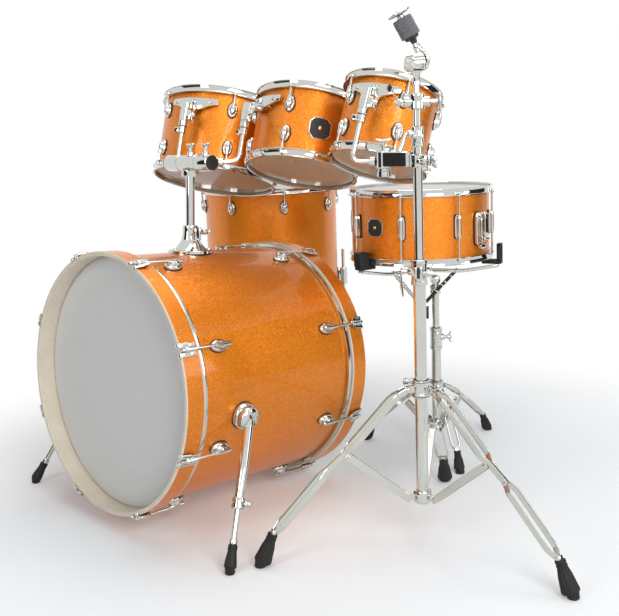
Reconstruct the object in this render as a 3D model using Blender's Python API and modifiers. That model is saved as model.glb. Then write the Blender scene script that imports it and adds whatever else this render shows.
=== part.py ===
"""A drum kit for a right-handed player, in metres, +Z up, standing on the floor plane z = 0.

The audience is towards -Y and the player sits towards +Y. Drums, hoops, heads, mounts and stands are
separate objects. Each moving group hangs from an empty that stands on the axis it turns or slides on.
"""
import math
from collections import namedtuple

import bmesh
import bpy
from mathutils import Matrix, Vector

# The kit's layout: the floor point under the bass drum's batter hoop, and places measured from it
BASS_X = -0.1448
BASS_Y = -0.0006
BASS_PITCH = math.radians(3.76)

# Clearance between neighbours that touch on the real kit
GAP = 0.0003
# Room that a brace's end needs to swing past its ear
BRACE_SWING = 0.0025

# Bass drum, 22 by 18 inches
BASS_RADIUS = 0.2795
BASS_HOOP_RADIUS = 0.292
BASS_LENGTH = 0.5415
BASS_DEPTH = 0.460
BASS_HOOP_WIDTH = 0.0447
BASS_WALL = 0.007
BASS_LUG_OFFSET = 0.163
BASS_ROD_RADIUS = 0.2976
BASS_LUGS = 8

# Tom mount on top of the bass drum, and the spurs on its sides
MOUNT_FORWARD = 0.031
POST_RADIUS = 0.0105
POST_TOP = 0.466
HOLDER_HEIGHT = 0.487
SPUR_FORWARD = 0.109
SPUR_ANGLE = math.radians(-9.5)
SPUR_FOOT = Vector((0.377, -0.523, 0.0))

# One row per drum: shell radius, height from hoop to hoop, sides of the turned parts, lugs per head
Drum = namedtuple("Drum", "name radius height steps lugs first_lug")
LARGE_TOM = Drum("large_tom", 0.1524, 0.210, 24, 5, 314.5)
MIDDLE_TOM = Drum("middle_tom", 0.1270, 0.184, 24, 5, 279.0)
SMALL_TOM = Drum("small_tom", 0.1016, 0.184, 24, 5, 323.0)
FLOOR_TOM = Drum("floor_tom", 0.2032, 0.424, 28, 8, 327.6)
SNARE = Drum("snare", 0.1778, 0.188, 28, 8, 22.5)
TOM_WALL = 0.006
TOM_LUG_DROP = 0.047
OVAL_REACH = 0.0156
HOOP_RISE = 0.009
HOOP_DROP = 0.012
ROD_OFFSET = 0.0072
ROD_RADIUS = 0.0034

# Where each drum's centre stands, which way the tilted ones lean, and how far
LARGE_TOM_AT = Vector((-0.185, -0.020, 0.838))
MIDDLE_TOM_AT = Vector((0.122, -0.004, 0.846))
SMALL_TOM_AT = Vector((0.388, -0.025, 0.862))
LARGE_TOM_LEAN = (104.0, 18.2)
MIDDLE_TOM_LEAN = (104.5, 21.0)
SMALL_TOM_LEAN = (93.5, 23.0)
FLOOR_TOM_AT = Vector((-0.391, 0.3505, 0.490))
SNARE_AT = Vector((0.230, 0.303, 0.618))

# L-rods that carry the toms
ARM_RADIUS = 0.00525
ARM_OFFSET = 0.045
# How far a mount's plate reaches to each side, in metres along the shell and at most in degrees
MOUNT_PLATE_REACH = 0.060
MOUNT_PLATE_WIDEST = 28.5
LARGE_TOM_MOUNT = 278.5
MIDDLE_TOM_MOUNT = 243.0
SMALL_TOM_MOUNT = 287.0

# A spur leg's sleeve, as (radius, distance from the pivot), with the clamp at its end
SPUR_SLEEVE = (
    (0.0135, 0.188), (0.0135, 0.165), (0.0100, 0.165),
    (0.0100, 0.050), (0.0070, 0.050), (0.0070, 0.188),
)

# Floor tom legs
FLOOR_LEG_RADIUS = 0.005
FLOOR_LEG_OFFSET = 0.020
FLOOR_LEG_ANGLES = (50.0, 170.0, 305.0)

# Cymbal stand
CYMBAL_BASE = Vector((0.5841, -0.1666, 0.0))
CYMBAL_TURN = -1.69
CYMBAL_TUBE = 0.0127
CYMBAL_MAST = 0.0095
CYMBAL_ROD = 0.0079
CYMBAL_HINGE = (0.031, 0.334)
CYMBAL_LEG = ((0.062, 0.319), (0.164, 0.216), (0.205, 0.183), (0.312, 0.085))
CYMBAL_FOOT = (0.3485, 0.0)
CYMBAL_BRACE = ((0.0345, 0.104), (0.158, 0.207))
CYMBAL_STRIP_HEIGHT = 0.012

# Snare stand
SNARE_BASE = Vector((0.2567, 0.3292, 0.0))
SNARE_TURN = -37.9
SNARE_TUBE = 0.0127
SNARE_UPPER = 0.0095
SNARE_HINGE = (0.028, 0.168)
SNARE_LEG = ((0.052, 0.156), (0.090, 0.130), (0.170, 0.080))
SNARE_FOOT = (0.205, 0.0)
SNARE_BRACE = ((0.0325, 0.066), (0.080, 0.115))
SNARE_STRIP_HEIGHT = 0.010
BASKET_ANGLES = (20.0, 140.0, 260.0)

# Tilter of the cymbal stand
TILTER_HEIGHT = 0.9816
TILTER_HEADING = 44.2


def clear_scene():
    for obj in list(bpy.data.objects):
        bpy.data.objects.remove(obj, do_unlink=True)


def make_material(name, colour, roughness, metallic):
    material = bpy.data.materials.new(name)
    material.use_nodes = True
    shader = material.node_tree.nodes["Principled BSDF"]
    shader.inputs["Base Color"].default_value = (*colour, 1.0)
    shader.inputs["Roughness"].default_value = roughness
    shader.inputs["Metallic"].default_value = metallic
    material.diffuse_color = (*colour, 1.0)
    return material


def make_collection(name):
    collection = bpy.data.collections.new(name)
    bpy.context.scene.collection.children.link(collection)
    return collection


def make_empty(name, place, parent=None):
    """An empty that a moving group hangs from; its origin stands on the group's axis."""
    empty = bpy.data.objects.new(name, None)
    KIT.objects.link(empty)
    empty.empty_display_size = 0.05
    empty.parent = parent
    empty.matrix_local = place
    return empty


def at(*point):
    return Matrix.Translation(Vector(point))


def turn(degrees, axis="Z"):
    return Matrix.Rotation(math.radians(degrees), 4, axis)


def around(degrees, radius, height):
    """A spot on a drum's wall: X points outwards, Y along the wall and Z along the drum's axis."""
    return turn(degrees) @ at(radius, 0, height)


def leaning(centre, heading, tilt):
    """A drum's own frame, with Z along its axis, which leans by tilt degrees towards heading."""
    a = math.radians(heading)
    t = math.radians(tilt)
    axis = Vector((math.cos(a) * math.sin(t), math.sin(a) * math.sin(t), math.cos(t)))
    side = axis.cross(Vector((0, 0, 1))).normalized()
    back = axis.cross(side)
    frame = Matrix((side, back, axis)).transposed().to_4x4()
    return Matrix.Translation(centre) @ frame


def evaluated_mesh(obj):
    """The mesh that an object's modifiers or curve settings give, welded, with the object removed."""
    graph = bpy.context.evaluated_depsgraph_get()
    mesh = bpy.data.meshes.new_from_object(obj.evaluated_get(graph))
    bpy.data.objects.remove(obj, do_unlink=True)
    return welded(mesh)


def welded(mesh):
    shape = bmesh.new()
    shape.from_mesh(mesh)
    bmesh.ops.remove_doubles(shape, verts=shape.verts, dist=0.00001)
    bmesh.ops.recalc_face_normals(shape, faces=shape.faces)
    shape.to_mesh(mesh)
    shape.free()
    return mesh


def placed(mesh, place):
    mesh.transform(place)
    return mesh


def turned(profile, steps, place=Matrix.Identity(4)):
    """A profile of (radius, height) points turned about Z. One that never meets the axis is closed."""
    mesh = bpy.data.meshes.new("profile")
    points = [(radius, 0, height) for radius, height in profile]
    edges = [(i, i + 1) for i in range(len(points) - 1)]
    if min(radius for radius, height in profile) > 0:
        edges.append((len(points) - 1, 0))
    mesh.from_pydata(points, edges, [])
    obj = bpy.data.objects.new("profile", mesh)
    bpy.context.scene.collection.objects.link(obj)
    screw = obj.modifiers.new("turned", "SCREW")
    screw.steps = steps
    screw.render_steps = steps
    screw.use_merge_vertices = True
    screw.merge_threshold = 0.00001
    return placed(evaluated_mesh(obj), place)


def ring(inner, outer, low, high, steps, place=Matrix.Identity(4)):
    return turned([(outer, high), (outer, low), (inner, low), (inner, high)], steps, place)


def bar(start, end, radius, sides=8, end_radius=None):
    """A round bar between two points, tapered if it has an end radius."""
    start = Vector(start)
    end = Vector(end)
    shape = bmesh.new()
    along = end - start
    place = Matrix.Translation((start + end) / 2) @ along.to_track_quat("Z", "Y").to_matrix().to_4x4()
    bmesh.ops.create_cone(
        shape,
        cap_ends=True,
        segments=sides,
        radius1=radius,
        radius2=radius if end_radius is None else end_radius,
        depth=along.length,
        matrix=place,
    )
    return finished(shape)


def block(size, place):
    shape = bmesh.new()
    bmesh.ops.create_cube(shape, size=1.0, matrix=place @ Matrix.Diagonal((*size, 1.0)))
    return finished(shape)


def oval_boss(height, width, length, place):
    """A tapered oval casting on a drum's wall, whose foot is inside the shell."""
    shape = bmesh.new()
    across = turn(90, "Y") @ Matrix.Diagonal((length, width, 1.0, 1.0))
    bmesh.ops.create_cone(
        shape,
        cap_ends=True,
        segments=6,
        radius1=1.0,
        radius2=0.62,
        depth=height + 0.004,
        matrix=place @ at(height / 2 - 0.002, 0, 0) @ across,
    )
    return finished(shape)


def finished(shape):
    mesh = bpy.data.meshes.new("solid")
    bmesh.ops.recalc_face_normals(shape, faces=shape.faces)
    shape.to_mesh(mesh)
    shape.free()
    return mesh


def bent_rod(points, radius, resolution=1):
    """A round rod along a list of points, with flat ends."""
    data = bpy.data.curves.new("rod", "CURVE")
    data.dimensions = "3D"
    data.bevel_depth = radius
    data.bevel_resolution = resolution
    data.use_fill_caps = True
    spline = data.splines.new("POLY")
    spline.points.add(len(points) - 1)
    for spot, point in zip(spline.points, points):
        spot.co = (*point, 1.0)
    obj = bpy.data.objects.new("rod", data)
    bpy.context.scene.collection.objects.link(obj)
    return evaluated_mesh(obj)


def plate(outline, thickness, place=Matrix.Identity(4)):
    """A flat outline in XY, filled and given its thickness evenly above and below."""
    data = bpy.data.curves.new("outline", "CURVE")
    data.dimensions = "2D"
    data.fill_mode = "BOTH"
    data.extrude = thickness / 2
    spline = data.splines.new("POLY")
    spline.points.add(len(outline) - 1)
    for spot, (x, y) in zip(spline.points, outline):
        spot.co = (x, y, 0.0, 1.0)
    spline.use_cyclic_u = True
    obj = bpy.data.objects.new("outline", data)
    bpy.context.scene.collection.objects.link(obj)
    return placed(evaluated_mesh(obj), place)


def corner(before, point, after, radius, steps=3):
    """Points of a rounded corner of a bent rod."""
    before, point, after = Vector(before), Vector(point), Vector(after)
    first = point + (before - point).normalized() * radius
    last = point + (after - point).normalized() * radius
    curve = []
    for i in range(steps + 1):
        t = i / steps
        curve.append(first * (1 - t) ** 2 + point * 2 * t * (1 - t) + last * t**2)
    return curve


def piece(name, material, solids, parent, holes=(), sharp=35.0):
    """One object: the first solid with the others joined to it, less the holes."""
    mesh = solids[0]
    mesh.name = name
    mesh.materials.clear()
    mesh.materials.append(material)
    obj = bpy.data.objects.new(name, mesh)
    KIT.objects.link(obj)
    obj.parent = parent
    if len(solids) > 1:
        joined = bpy.data.collections.new(name + "_joined")
        CUTTERS.children.link(joined)
        for solid in solids[1:]:
            helper(name + "_with", solid, parent, joined)
        union = obj.modifiers.new("joined", "BOOLEAN")
        union.operation = "UNION"
        union.operand_type = "COLLECTION"
        union.collection = joined
        union.solver = "EXACT"
    for hole in holes:
        cut = obj.modifiers.new("hole", "BOOLEAN")
        cut.operation = "DIFFERENCE"
        cut.object = helper(name + "_hole", hole, parent, CUTTERS)
        cut.solver = "EXACT"
    mesh.shade_smooth()
    mesh.set_sharp_from_angle(angle=math.radians(sharp))
    return obj


def helper(name, mesh, parent, collection):
    obj = bpy.data.objects.new(name, mesh)
    collection.objects.link(obj)
    obj.parent = parent
    obj.hide_render = True
    obj.display_type = "WIRE"
    return obj


def copy_of(first, name, parent):
    """A repeated piece: its own object on the first one's mesh and joined solids."""
    obj = bpy.data.objects.new(name, first.data)
    KIT.objects.link(obj)
    obj.parent = parent
    if "joined" in first.modifiers:
        joined = bpy.data.collections.new(name + "_joined")
        CUTTERS.children.link(joined)
        for solid in first.modifiers["joined"].collection.objects:
            helper(name + "_with", solid.data, parent, joined)
        union = obj.modifiers.new("joined", "BOOLEAN")
        union.operation = "UNION"
        union.operand_type = "COLLECTION"
        union.collection = joined
        union.solver = "EXACT"
    return obj


def lug_angles(drum):
    return [drum.first_lug + 360.0 * i / drum.lugs for i in range(drum.lugs)]


def edge_of(drum):
    """Height of the shell's edge above the drum's centre."""
    return drum.height / 2 - HOOP_RISE


def shell_of(drum, lug, parent, more=()):
    """A shell with its lugs. lug gives the solids of one lug at an angle."""
    edge = edge_of(drum)
    wall = drum.radius - TOM_WALL
    solids = [ring(wall, drum.radius, -edge, edge, drum.steps)]
    for degrees in lug_angles(drum):
        solids += lug(drum, degrees)
    return piece(drum.name + "_shell", SHELL, solids + list(more), parent)


def oval_lugs(drum, degrees):
    height = edge_of(drum) - TOM_LUG_DROP
    return [
        oval_boss(0.014, 0.011, 0.015, around(degrees, drum.radius, side * height))
        for side in (1, -1)
    ]


def tube_lug(drum, degrees):
    return [block((0.032, 0.013, 0.058), around(degrees, drum.radius, 0))]


def tension_rods(drum, side, rod_end):
    """The rods that run from the hoop's ears to rod_end, for one side of a drum."""
    ear = edge_of(drum) - HOOP_DROP + 0.0035
    solids = []
    for degrees in lug_angles(drum):
        foot = around(degrees, drum.radius + ROD_OFFSET, side * rod_end).translation
        head = around(degrees, drum.radius + ROD_OFFSET, side * ear).translation
        solids.append(bar(foot, head, ROD_RADIUS, 5))
    return solids


def batter_side(drum, parent, rod_end):
    """The head and the hoop on a drum's playing side."""
    r, e = drum.radius, edge_of(drum)
    top = e + GAP + 0.001
    head = [(0, top), (r + 0.0046, top), (r + 0.0046, e - 0.008)]
    head += [(r + 0.0006, e - 0.008), (r + 0.0006, e + GAP), (0, e + GAP)]
    piece(drum.name + "_batter_head", HEAD, [turned(head, drum.steps)], parent)
    lip = top + GAP
    hoop = [(r + 0.007, e + HOOP_RISE), (r + 0.007, e - HOOP_DROP), (r + 0.0050, e - HOOP_DROP)]
    hoop += [(r + 0.0050, lip), (r + 0.0012, lip), (r + 0.0052, e + HOOP_RISE)]
    solids = [turned(hoop, drum.steps)] + tension_rods(drum, 1, rod_end)
    return piece(drum.name + "_batter_hoop", CHROME, solids, parent)


def resonant_side(drum, parent, rod_end):
    """The hoop on a drum's far side with the head that it holds."""
    r, e = drum.radius, edge_of(drum)
    top = e + GAP + 0.001
    profile = [(0, top), (r - 0.001, top), (r + 0.0052, e + HOOP_RISE), (r + 0.007, e + HOOP_RISE)]
    profile += [(r + 0.007, e - HOOP_DROP), (r + 0.0006, e - HOOP_DROP), (r + 0.0006, e + GAP), (0, e + GAP)]
    mirrored = [(radius, -height) for radius, height in profile]
    solids = [turned(mirrored, drum.steps)] + tension_rods(drum, -1, rod_end)
    return piece(drum.name + "_bottom_hoop", CHROME, solids, parent)


def sector(inner, outer, half_angle, steps):
    """A flat arc, as an outline: out along the outer edge and back along the inner one."""
    angles = [math.radians(half_angle * (2 * i / steps - 1)) for i in range(steps + 1)]
    outline = [(outer * math.cos(a), outer * math.sin(a)) for a in angles]
    return outline + [(inner * math.cos(a), inner * math.sin(a)) for a in reversed(angles)]


def suspension_mount(drum, degrees):
    """The curved plate below the hoop that a tom hangs from, and the bracket on it that grips the L-rod."""
    r, e = drum.radius, edge_of(drum)
    half = min(math.degrees(MOUNT_PLATE_REACH / r), MOUNT_PLATE_WIDEST)
    band = plate(sector(r + 0.0080, r + 0.0130, half, 8), 0.030, turn(degrees) @ at(0, 0, e - 0.0440))
    root = block((0.0100, 0.050, 0.018), around(degrees, r + 0.0040, e - 0.0440))
    socket = ring(0.0060, 0.0115, e - 0.113, e - 0.052, 8, around(degrees, r + ARM_OFFSET, 0))
    start = r + 0.0090
    end = r + ARM_OFFSET - 0.0075
    link = block((end - start, 0.020, 0.014), around(degrees, (start + end) / 2, e - 0.0560))
    grip = around(degrees, r + ARM_OFFSET, e - 0.085)
    wing = bar(grip @ Vector((0, 0.0095, 0)), grip @ Vector((0, 0.026, 0)), 0.0040, 5)
    return [root, band, socket, link, wing]


def hung_tom(drum, frame, mount):
    """A tom that swivels on its L-rod: the empty stands on the rod's axis."""
    rod = around(mount, drum.radius + ARM_OFFSET, 0)
    pivot = make_empty(drum.name + "_swivel", frame @ rod, KIT_FRAME)
    inner = make_empty(drum.name + "_centre", rod.inverted(), pivot)
    rod_end = edge_of(drum) - TOM_LUG_DROP + OVAL_REACH
    shell_of(drum, oval_lugs, inner, suspension_mount(drum, mount))
    batter_side(drum, inner, rod_end)
    resonant_side(drum, inner, rod_end)


def rod_bend(drum, frame, mount, height):
    """Where the upright leg of a tom's L-rod comes down to the height of its level leg."""
    upper = frame @ around(mount, drum.radius + ARM_OFFSET, edge_of(drum)).translation
    lower = frame @ around(mount, drum.radius + ARM_OFFSET, -edge_of(drum)).translation
    return upper.lerp(lower, (upper.z - height) / (upper.z - lower.z))


def tom_arm(name, drum, frame, mount, end):
    """An L-rod: an upright leg along the drum's side, a bend, and a level leg to its socket at end."""
    e = edge_of(drum)
    top = frame @ around(mount, drum.radius + ARM_OFFSET, e - 0.056).translation
    bend = rod_bend(drum, frame, mount, end.z)
    route = [top] + corner(top, bend, end, 0.022) + [end]
    lock_top = frame @ around(mount, drum.radius + ARM_OFFSET, e - 0.1135).translation
    lock_low = frame @ around(mount, drum.radius + ARM_OFFSET, e - 0.1300).translation
    toward = (bend - end).normalized()
    pivot = make_empty(name + "_tilt", Matrix.Translation(end), KIT_FRAME)
    solids = [
        bent_rod([p - end for p in route], ARM_RADIUS),
        bar(lock_top - end, lock_low - end, 0.0105, 8),
        bar((0, 0, 0), toward * 0.012, 0.0105, 8),
    ]
    piece(name, CHROME, solids, pivot)


def bass_drum():
    half = BASS_LENGTH / 2
    edge = BASS_DEPTH / 2
    radius = BASS_RADIUS
    steps = 36
    lift = BASS_HOOP_RADIUS * math.cos(BASS_PITCH)
    rearwards = Vector((0, math.cos(BASS_PITCH), -math.sin(BASS_PITCH)))
    upwards = Vector((0, math.sin(BASS_PITCH), math.cos(BASS_PITCH)))
    rotation = Matrix((Vector((1, 0, 0)), upwards, -rearwards)).transposed().to_4x4()
    place = Matrix.Translation(Vector((0, 0, lift)) - rearwards * half) @ rotation
    frame = make_empty("bass_drum", place, KIT_FRAME)
    angles = [22.5 + 360.0 * i / BASS_LUGS for i in range(BASS_LUGS)]

    solids = [ring(radius - BASS_WALL, radius, -edge, edge, steps)]
    for degrees in angles:
        for side in (1, -1):
            solids.append(oval_boss(0.023, 0.014, 0.022, around(degrees, radius, side * BASS_LUG_OFFSET)))
    for degrees in (math.degrees(SPUR_ANGLE), 180 - math.degrees(SPUR_ANGLE)):
        boss = turn(degrees) @ at(0, 0, SPUR_FORWARD)
        solids.append(bar(boss @ Vector((0.2745, 0, 0)), boss @ Vector((0.2920, 0, 0)), 0.031, 12))
    solids += tom_mount_base()
    bore = bar((0, 0.25, MOUNT_FORWARD), (0, 0.36, MOUNT_FORWARD), POST_RADIUS + 0.0008, 12)
    piece("bass_shell", SHELL, solids, frame, holes=[bore])

    for name, side in (("front", 1), ("batter", -1)):
        lip = edge + GAP + 0.001
        flesh = edge - 0.016
        collar = edge - 0.0045
        head = [(0, lip), (radius + 0.0018, lip), (radius + 0.0018, collar), (radius + 0.0080, collar)]
        head += [(radius + 0.0080, flesh), (radius + 0.0006, flesh), (radius + 0.0006, edge + GAP)]
        head.append((0, edge + GAP))
        head = [(r, side * h) for r, h in head]
        piece("bass_%s_head" % name, HEAD, [turned(head, steps)], frame)

        start = half - BASS_HOOP_WIDTH
        outer = [(BASS_HOOP_RADIUS, half), (BASS_HOOP_RADIUS, start), (radius + 0.0022, start)]
        outer.append((radius + 0.0022, half))
        solids = [turned([(r, side * h) for r, h in outer], steps)]
        for degrees in angles:
            solids += claw(degrees, side, half)
        piece("bass_%s_hoop" % name, HOOP_WOOD, solids, frame)
    return place


def claw(degrees, side, half):
    """A claw over the hoop's edge, with its rod to the lug."""
    claw_length = 0.038
    back = around(degrees, 0.2940, side * (half - claw_length / 2 + 0.004))
    rod_end = around(degrees, BASS_ROD_RADIUS, side * (BASS_LUG_OFFSET + 0.0195)).translation
    rod_start = around(degrees, BASS_ROD_RADIUS, side * (half - claw_length + 0.010)).translation
    return [
        block((0.0125, 0.026, claw_length), back),
        bar(rod_end, rod_start, 0.0032, 5),
    ]


def tom_mount_base():
    """Base plate and tapered receiver of the tom post, which rise along the drum's own Y."""
    low = (0, 0.2742, MOUNT_FORWARD)
    plate_top = (0, 0.2850, MOUNT_FORWARD)
    top = (0, 0.3420, MOUNT_FORWARD)
    screw = (0.040, 0.325, MOUNT_FORWARD)
    return [
        bar(low, plate_top, 0.052, 16),
        bar((0, 0.2830, MOUNT_FORWARD), top, 0.027, 12, 0.0165),
        bar((0.012, 0.325, MOUNT_FORWARD), screw, 0.0045, 6),
        block((0.005, 0.026, 0.010), at(*screw)),
    ]


def holder_frame(bass):
    return bass @ at(0, 0, MOUNT_FORWARD) @ turn(-90, "X") @ at(0, 0, HOLDER_HEIGHT)


def tom_post_and_holder(bass, bends):
    """The post slides in the base; the holder swivels on its top. Each boss faces the bend of its L-rod."""
    place = bass @ at(0, 0, MOUNT_FORWARD) @ turn(-90, "X")
    post = make_empty("tom_post_slide", place @ at(0, 0, POST_TOP), KIT_FRAME)
    piece("tom_post", CHROME, [bar((0, 0, 0), (0, 0, 0.200 - POST_TOP), POST_RADIUS, 12)], post)
    holder_place = holder_frame(bass)
    holder = make_empty("tom_holder_swivel", holder_place, KIT_FRAME)
    centre = holder_place.translation
    to_local = holder_place.inverted()
    solids = [
        bar((-0.070, 0, 0), (0.070, 0, 0), 0.0205, 12),
        bar((-0.034, -0.006, 0), (-0.034, -0.006, 0.040), 0.0045, 6),
        bar((0.034, -0.006, 0), (0.034, -0.006, 0.040), 0.0045, 6),
        block((0.026, 0.010, 0.006), at(-0.034, -0.006, 0.040)),
        block((0.026, 0.010, 0.006), at(0.034, -0.006, 0.040)),
    ]
    ends = []
    for side, bend in zip((-1, 1), bends):
        start = centre + Vector((side * 0.050, 0, 0))
        toward = (bend - start).normalized()
        end = start + toward * 0.032
        solids.append(bar(to_local @ start, to_local @ end, 0.0135, 12))
        ends.append(end + toward * GAP)
    piece("tom_holder", CHROME, solids, holder)
    return ends


def spurs(bass):
    """Two folding legs with telescoping tips, on the bosses at the bass drum's sides."""
    for side, name in ((1, "left"), (-1, "right")):
        degrees = math.degrees(SPUR_ANGLE) if side > 0 else 180 - math.degrees(SPUR_ANGLE)
        place = bass @ turn(degrees) @ at(0.2920 + GAP, 0, SPUR_FORWARD)
        pivot = make_empty("spur_%s_fold" % name, place, KIT_FRAME)
        to_local = place.inverted()
        start = Vector((0.009, 0, 0))
        foot = to_local @ Vector((side * SPUR_FOOT.x, SPUR_FOOT.y, 0.010))
        along = (foot - start).normalized()
        length = (foot - start).length
        sleeve = frame_along(start, along)
        solids = [
            bar((0, 0, 0), (0.018, 0, 0), 0.026, 12),
            bar(start, start + along * 0.060, 0.0095, 10),
            turned(SPUR_SLEEVE, 10, sleeve),
        ]
        piece("spur_leg_%s" % name, CHROME, solids, pivot)
        slide = make_empty("spur_tip_%s_slide" % name, Matrix.Translation(place @ foot), KIT_FRAME)
        tip = place.to_3x3() @ along
        world_foot = place @ foot
        rest = world_foot - world_foot
        rod_top = rest - tip * (length - 0.095)
        solids = [
            bar(rod_top, rest - tip * 0.020, 0.0060, 8),
            bar(rest - tip * 0.045, rest, 0.0095, 8, 0.0130),
            bar((0, 0, -0.010), (0, 0, 0.006), 0.0100, 8),
        ]
        piece("spur_tip_%s" % name, RUBBER, solids, slide)


def frame_along(origin, direction):
    """A frame at origin whose Z runs along direction."""
    return Matrix.Translation(origin) @ direction.to_track_quat("Z", "Y").to_matrix().to_4x4()


def floor_tom():
    drum = FLOOR_TOM
    frame = make_empty("floor_tom", Matrix.Translation(FLOOR_TOM_AT), KIT_FRAME)
    brackets = []
    reach = drum.radius + FLOOR_LEG_OFFSET
    bracket_height = -0.085
    for degrees in FLOOR_LEG_ANGLES:
        spot = around(degrees, reach, bracket_height)
        brackets.append(ring(FLOOR_LEG_RADIUS + 0.0010, 0.0120, -0.026, 0.026, 8, spot))
        brackets.append(block((0.020, 0.014, 0.030), around(degrees, drum.radius + 0.003, bracket_height)))
    shell_of(drum, oval_lugs, frame, brackets)
    rod_end = edge_of(drum) - TOM_LUG_DROP + OVAL_REACH
    batter_side(drum, frame, rod_end)
    resonant_side(drum, frame, rod_end)
    for i, degrees in enumerate(FLOOR_LEG_ANGLES):
        spot = FLOOR_TOM_AT + around(degrees, reach, 0).translation
        outwards = turn(degrees) @ Vector((1, 0, 0))
        slide = make_empty("floor_leg_%d_slide" % (i + 1), at(spot.x, spot.y, 0), KIT_FRAME)
        top = (0, 0, 0.490)
        knee = (0, 0, 0.130)
        foot = outwards * 0.030 + Vector((0, 0, 0.030))
        route = [top] + corner(top, knee, foot, 0.030) + [foot]
        pad = outwards * 0.030
        solids = [bent_rod(route, FLOOR_LEG_RADIUS, 1), bar(pad, pad + Vector((0, 0, 0.042)), 0.014, 8, 0.009)]
        piece("floor_tom_leg_%d" % (i + 1), CHROME, solids, slide)


def snare_drum():
    drum = SNARE
    frame = make_empty("snare_lift", Matrix.Translation(SNARE_AT), KIT_FRAME)
    strainer = [
        block((0.030, 0.030, 0.090), around(0, drum.radius + 0.006, -0.010)),
        block((0.026, 0.034, 0.024), around(180, drum.radius + 0.006, -0.050)),
    ]
    shell_of(drum, tube_lug, frame, strainer)
    batter_side(drum, frame, 0.0295)
    resonant_side(drum, frame, 0.0295)
    barrel = 0.0042
    lever_at = around(0, drum.radius + 0.021 + barrel + GAP, -0.035)
    lever = make_empty("snare_throw_off", Matrix.Translation(SNARE_AT) @ lever_at, KIT_FRAME)
    solids = [
        bar((0, -0.010, 0), (0, 0.010, 0), barrel, 8),
        block((0.005, 0.016, 0.064), at(0.0010, 0, 0.032)),
    ]
    piece("snare_throw_off_lever", CHROME, solids, lever)


def leg_outline(line, height):
    """An even strip of this height along a bent line of (radius, height) points."""
    points = [Vector(p) for p in line]
    upper, lower = [], []
    for i, point in enumerate(points):
        before = points[max(i - 1, 0)]
        after = points[min(i + 1, len(points) - 1)]
        along = (after - before).normalized()
        normal = Vector((-along.y, along.x)) * height / 2
        upper.append(tuple(point + normal))
        lower.append(tuple(point - normal))
    return upper + lower[::-1]


def tripod(name, base, turn_by, hinge, line, foot, brace, height, tube, ear):
    """Collar, three double-strip legs and three braces. Each part's empty stands on its own hinge."""
    up = Vector((0, 0, hinge[1]))
    collar = make_empty(name + "_collar_slide", Matrix.Translation(base + up), KIT_FRAME)
    rim = 0.0185
    solids = [ring(tube + 0.0007, rim, -0.018, 0.018, 12)]
    for i in range(3):
        spoke = turn(turn_by + 120 * i)
        solids.append(block((hinge[0] - 0.010, ear, 0.014), spoke @ at((hinge[0] + rim) / 2 + 0.001, 0, 0)))
    knob = turn(turn_by + 215)
    solids.append(bar(knob @ Vector((0.016, 0, 0.014)), knob @ Vector((0.034, 0, 0.014)), 0.0035, 6))
    solids.append(block((0.004, 0.026, 0.009), knob @ at(0.034, 0, 0.0145)))
    piece(name + "_collar", CHROME, solids, collar)

    along = [(x - hinge[0], z - hinge[1]) for x, z in (hinge,) + line]
    upright = turn(90, "X")
    inner = ear / 2 + 0.0008
    strip = 0.0042
    straight = along[-2][0]
    reach = along[-1][0]
    solids = []
    for side in (1, -1):
        flat = plate(leg_outline(along, height), strip, upright)
        for vertex in flat.vertices:
            closing = max(0.0, (vertex.co.x - straight) / (reach - straight))
            vertex.co.y += side * (inner + strip / 2 - closing * (inner - 0.0005))
        solids.append(flat)
    end = Vector((along[-1][0], 0, along[-1][1]))
    tip = Vector((foot[0] - hinge[0], 0, foot[1] - hinge[1]))
    rubber_top = end + (end - tip).normalized() * 0.010
    solids.append(bar(rubber_top, tip + (end - tip).normalized() * 0.010, 0.0105, 8, 0.0135))
    solids.append(bar(tip, tip + Vector((0, 0, 0.020)), 0.0115, 8))
    tie = Vector((straight, 0, along[-2][1]))
    solids.append(bar(tie + Vector((0, inner + 0.001, 0)), tie - Vector((0, inner + 0.001, 0)), 0.0040, 6))

    low = Vector((brace[0][0], 0, brace[0][1]))
    high = Vector((brace[1][0], 0, brace[1][1]))
    slope = (high - low).normalized()
    lie = Matrix((slope, Vector((0, 1, 0)), slope.cross(Vector((0, 1, 0))))).transposed().to_4x4()
    middle = Matrix.Translation((high - low) / 2) @ lie
    legs, braces = None, None
    for i in range(3):
        spoke = Matrix.Translation(base) @ turn(turn_by + 120 * i)
        pivot = make_empty("%s_leg_%d_hinge" % (name, i + 1), spoke @ at(hinge[0], 0, hinge[1]), KIT_FRAME)
        if legs is None:
            legs = piece("%s_leg_1" % name, CHROME, solids, pivot)
        else:
            copy_of(legs, "%s_leg_%d" % (name, i + 1), pivot)
        pivot = make_empty("%s_brace_%d_hinge" % (name, i + 1), spoke @ Matrix.Translation(low), KIT_FRAME)
        if braces is None:
            size = ((high - low).length - 0.004, ear - 0.0005, 0.0045)
            braces = piece("%s_brace_1" % name, CHROME, [block(size, middle)], pivot)
        else:
            copy_of(braces, "%s_brace_%d" % (name, i + 1), pivot)


def hub(turn_by, height, reach, ear):
    """The fixed casting at a stand's foot, with an ear for each brace."""
    solids = [bar((0, 0, height - 0.014), (0, 0, height + 0.012), 0.0195, 12)]
    for i in range(3):
        spoke = turn(turn_by + 120 * i)
        solids.append(block((reach - 0.012, ear, 0.012), spoke @ at((reach + 0.012) / 2, 0, height)))
    return solids


def tube_with_clamp(bore, tube, clamp, low, shoulder, top):
    """The profile of a tube with a wider clamp at its upper end."""
    return [(clamp, top), (clamp, shoulder), (tube, shoulder), (tube, low), (bore, low), (bore, top)]


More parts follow.
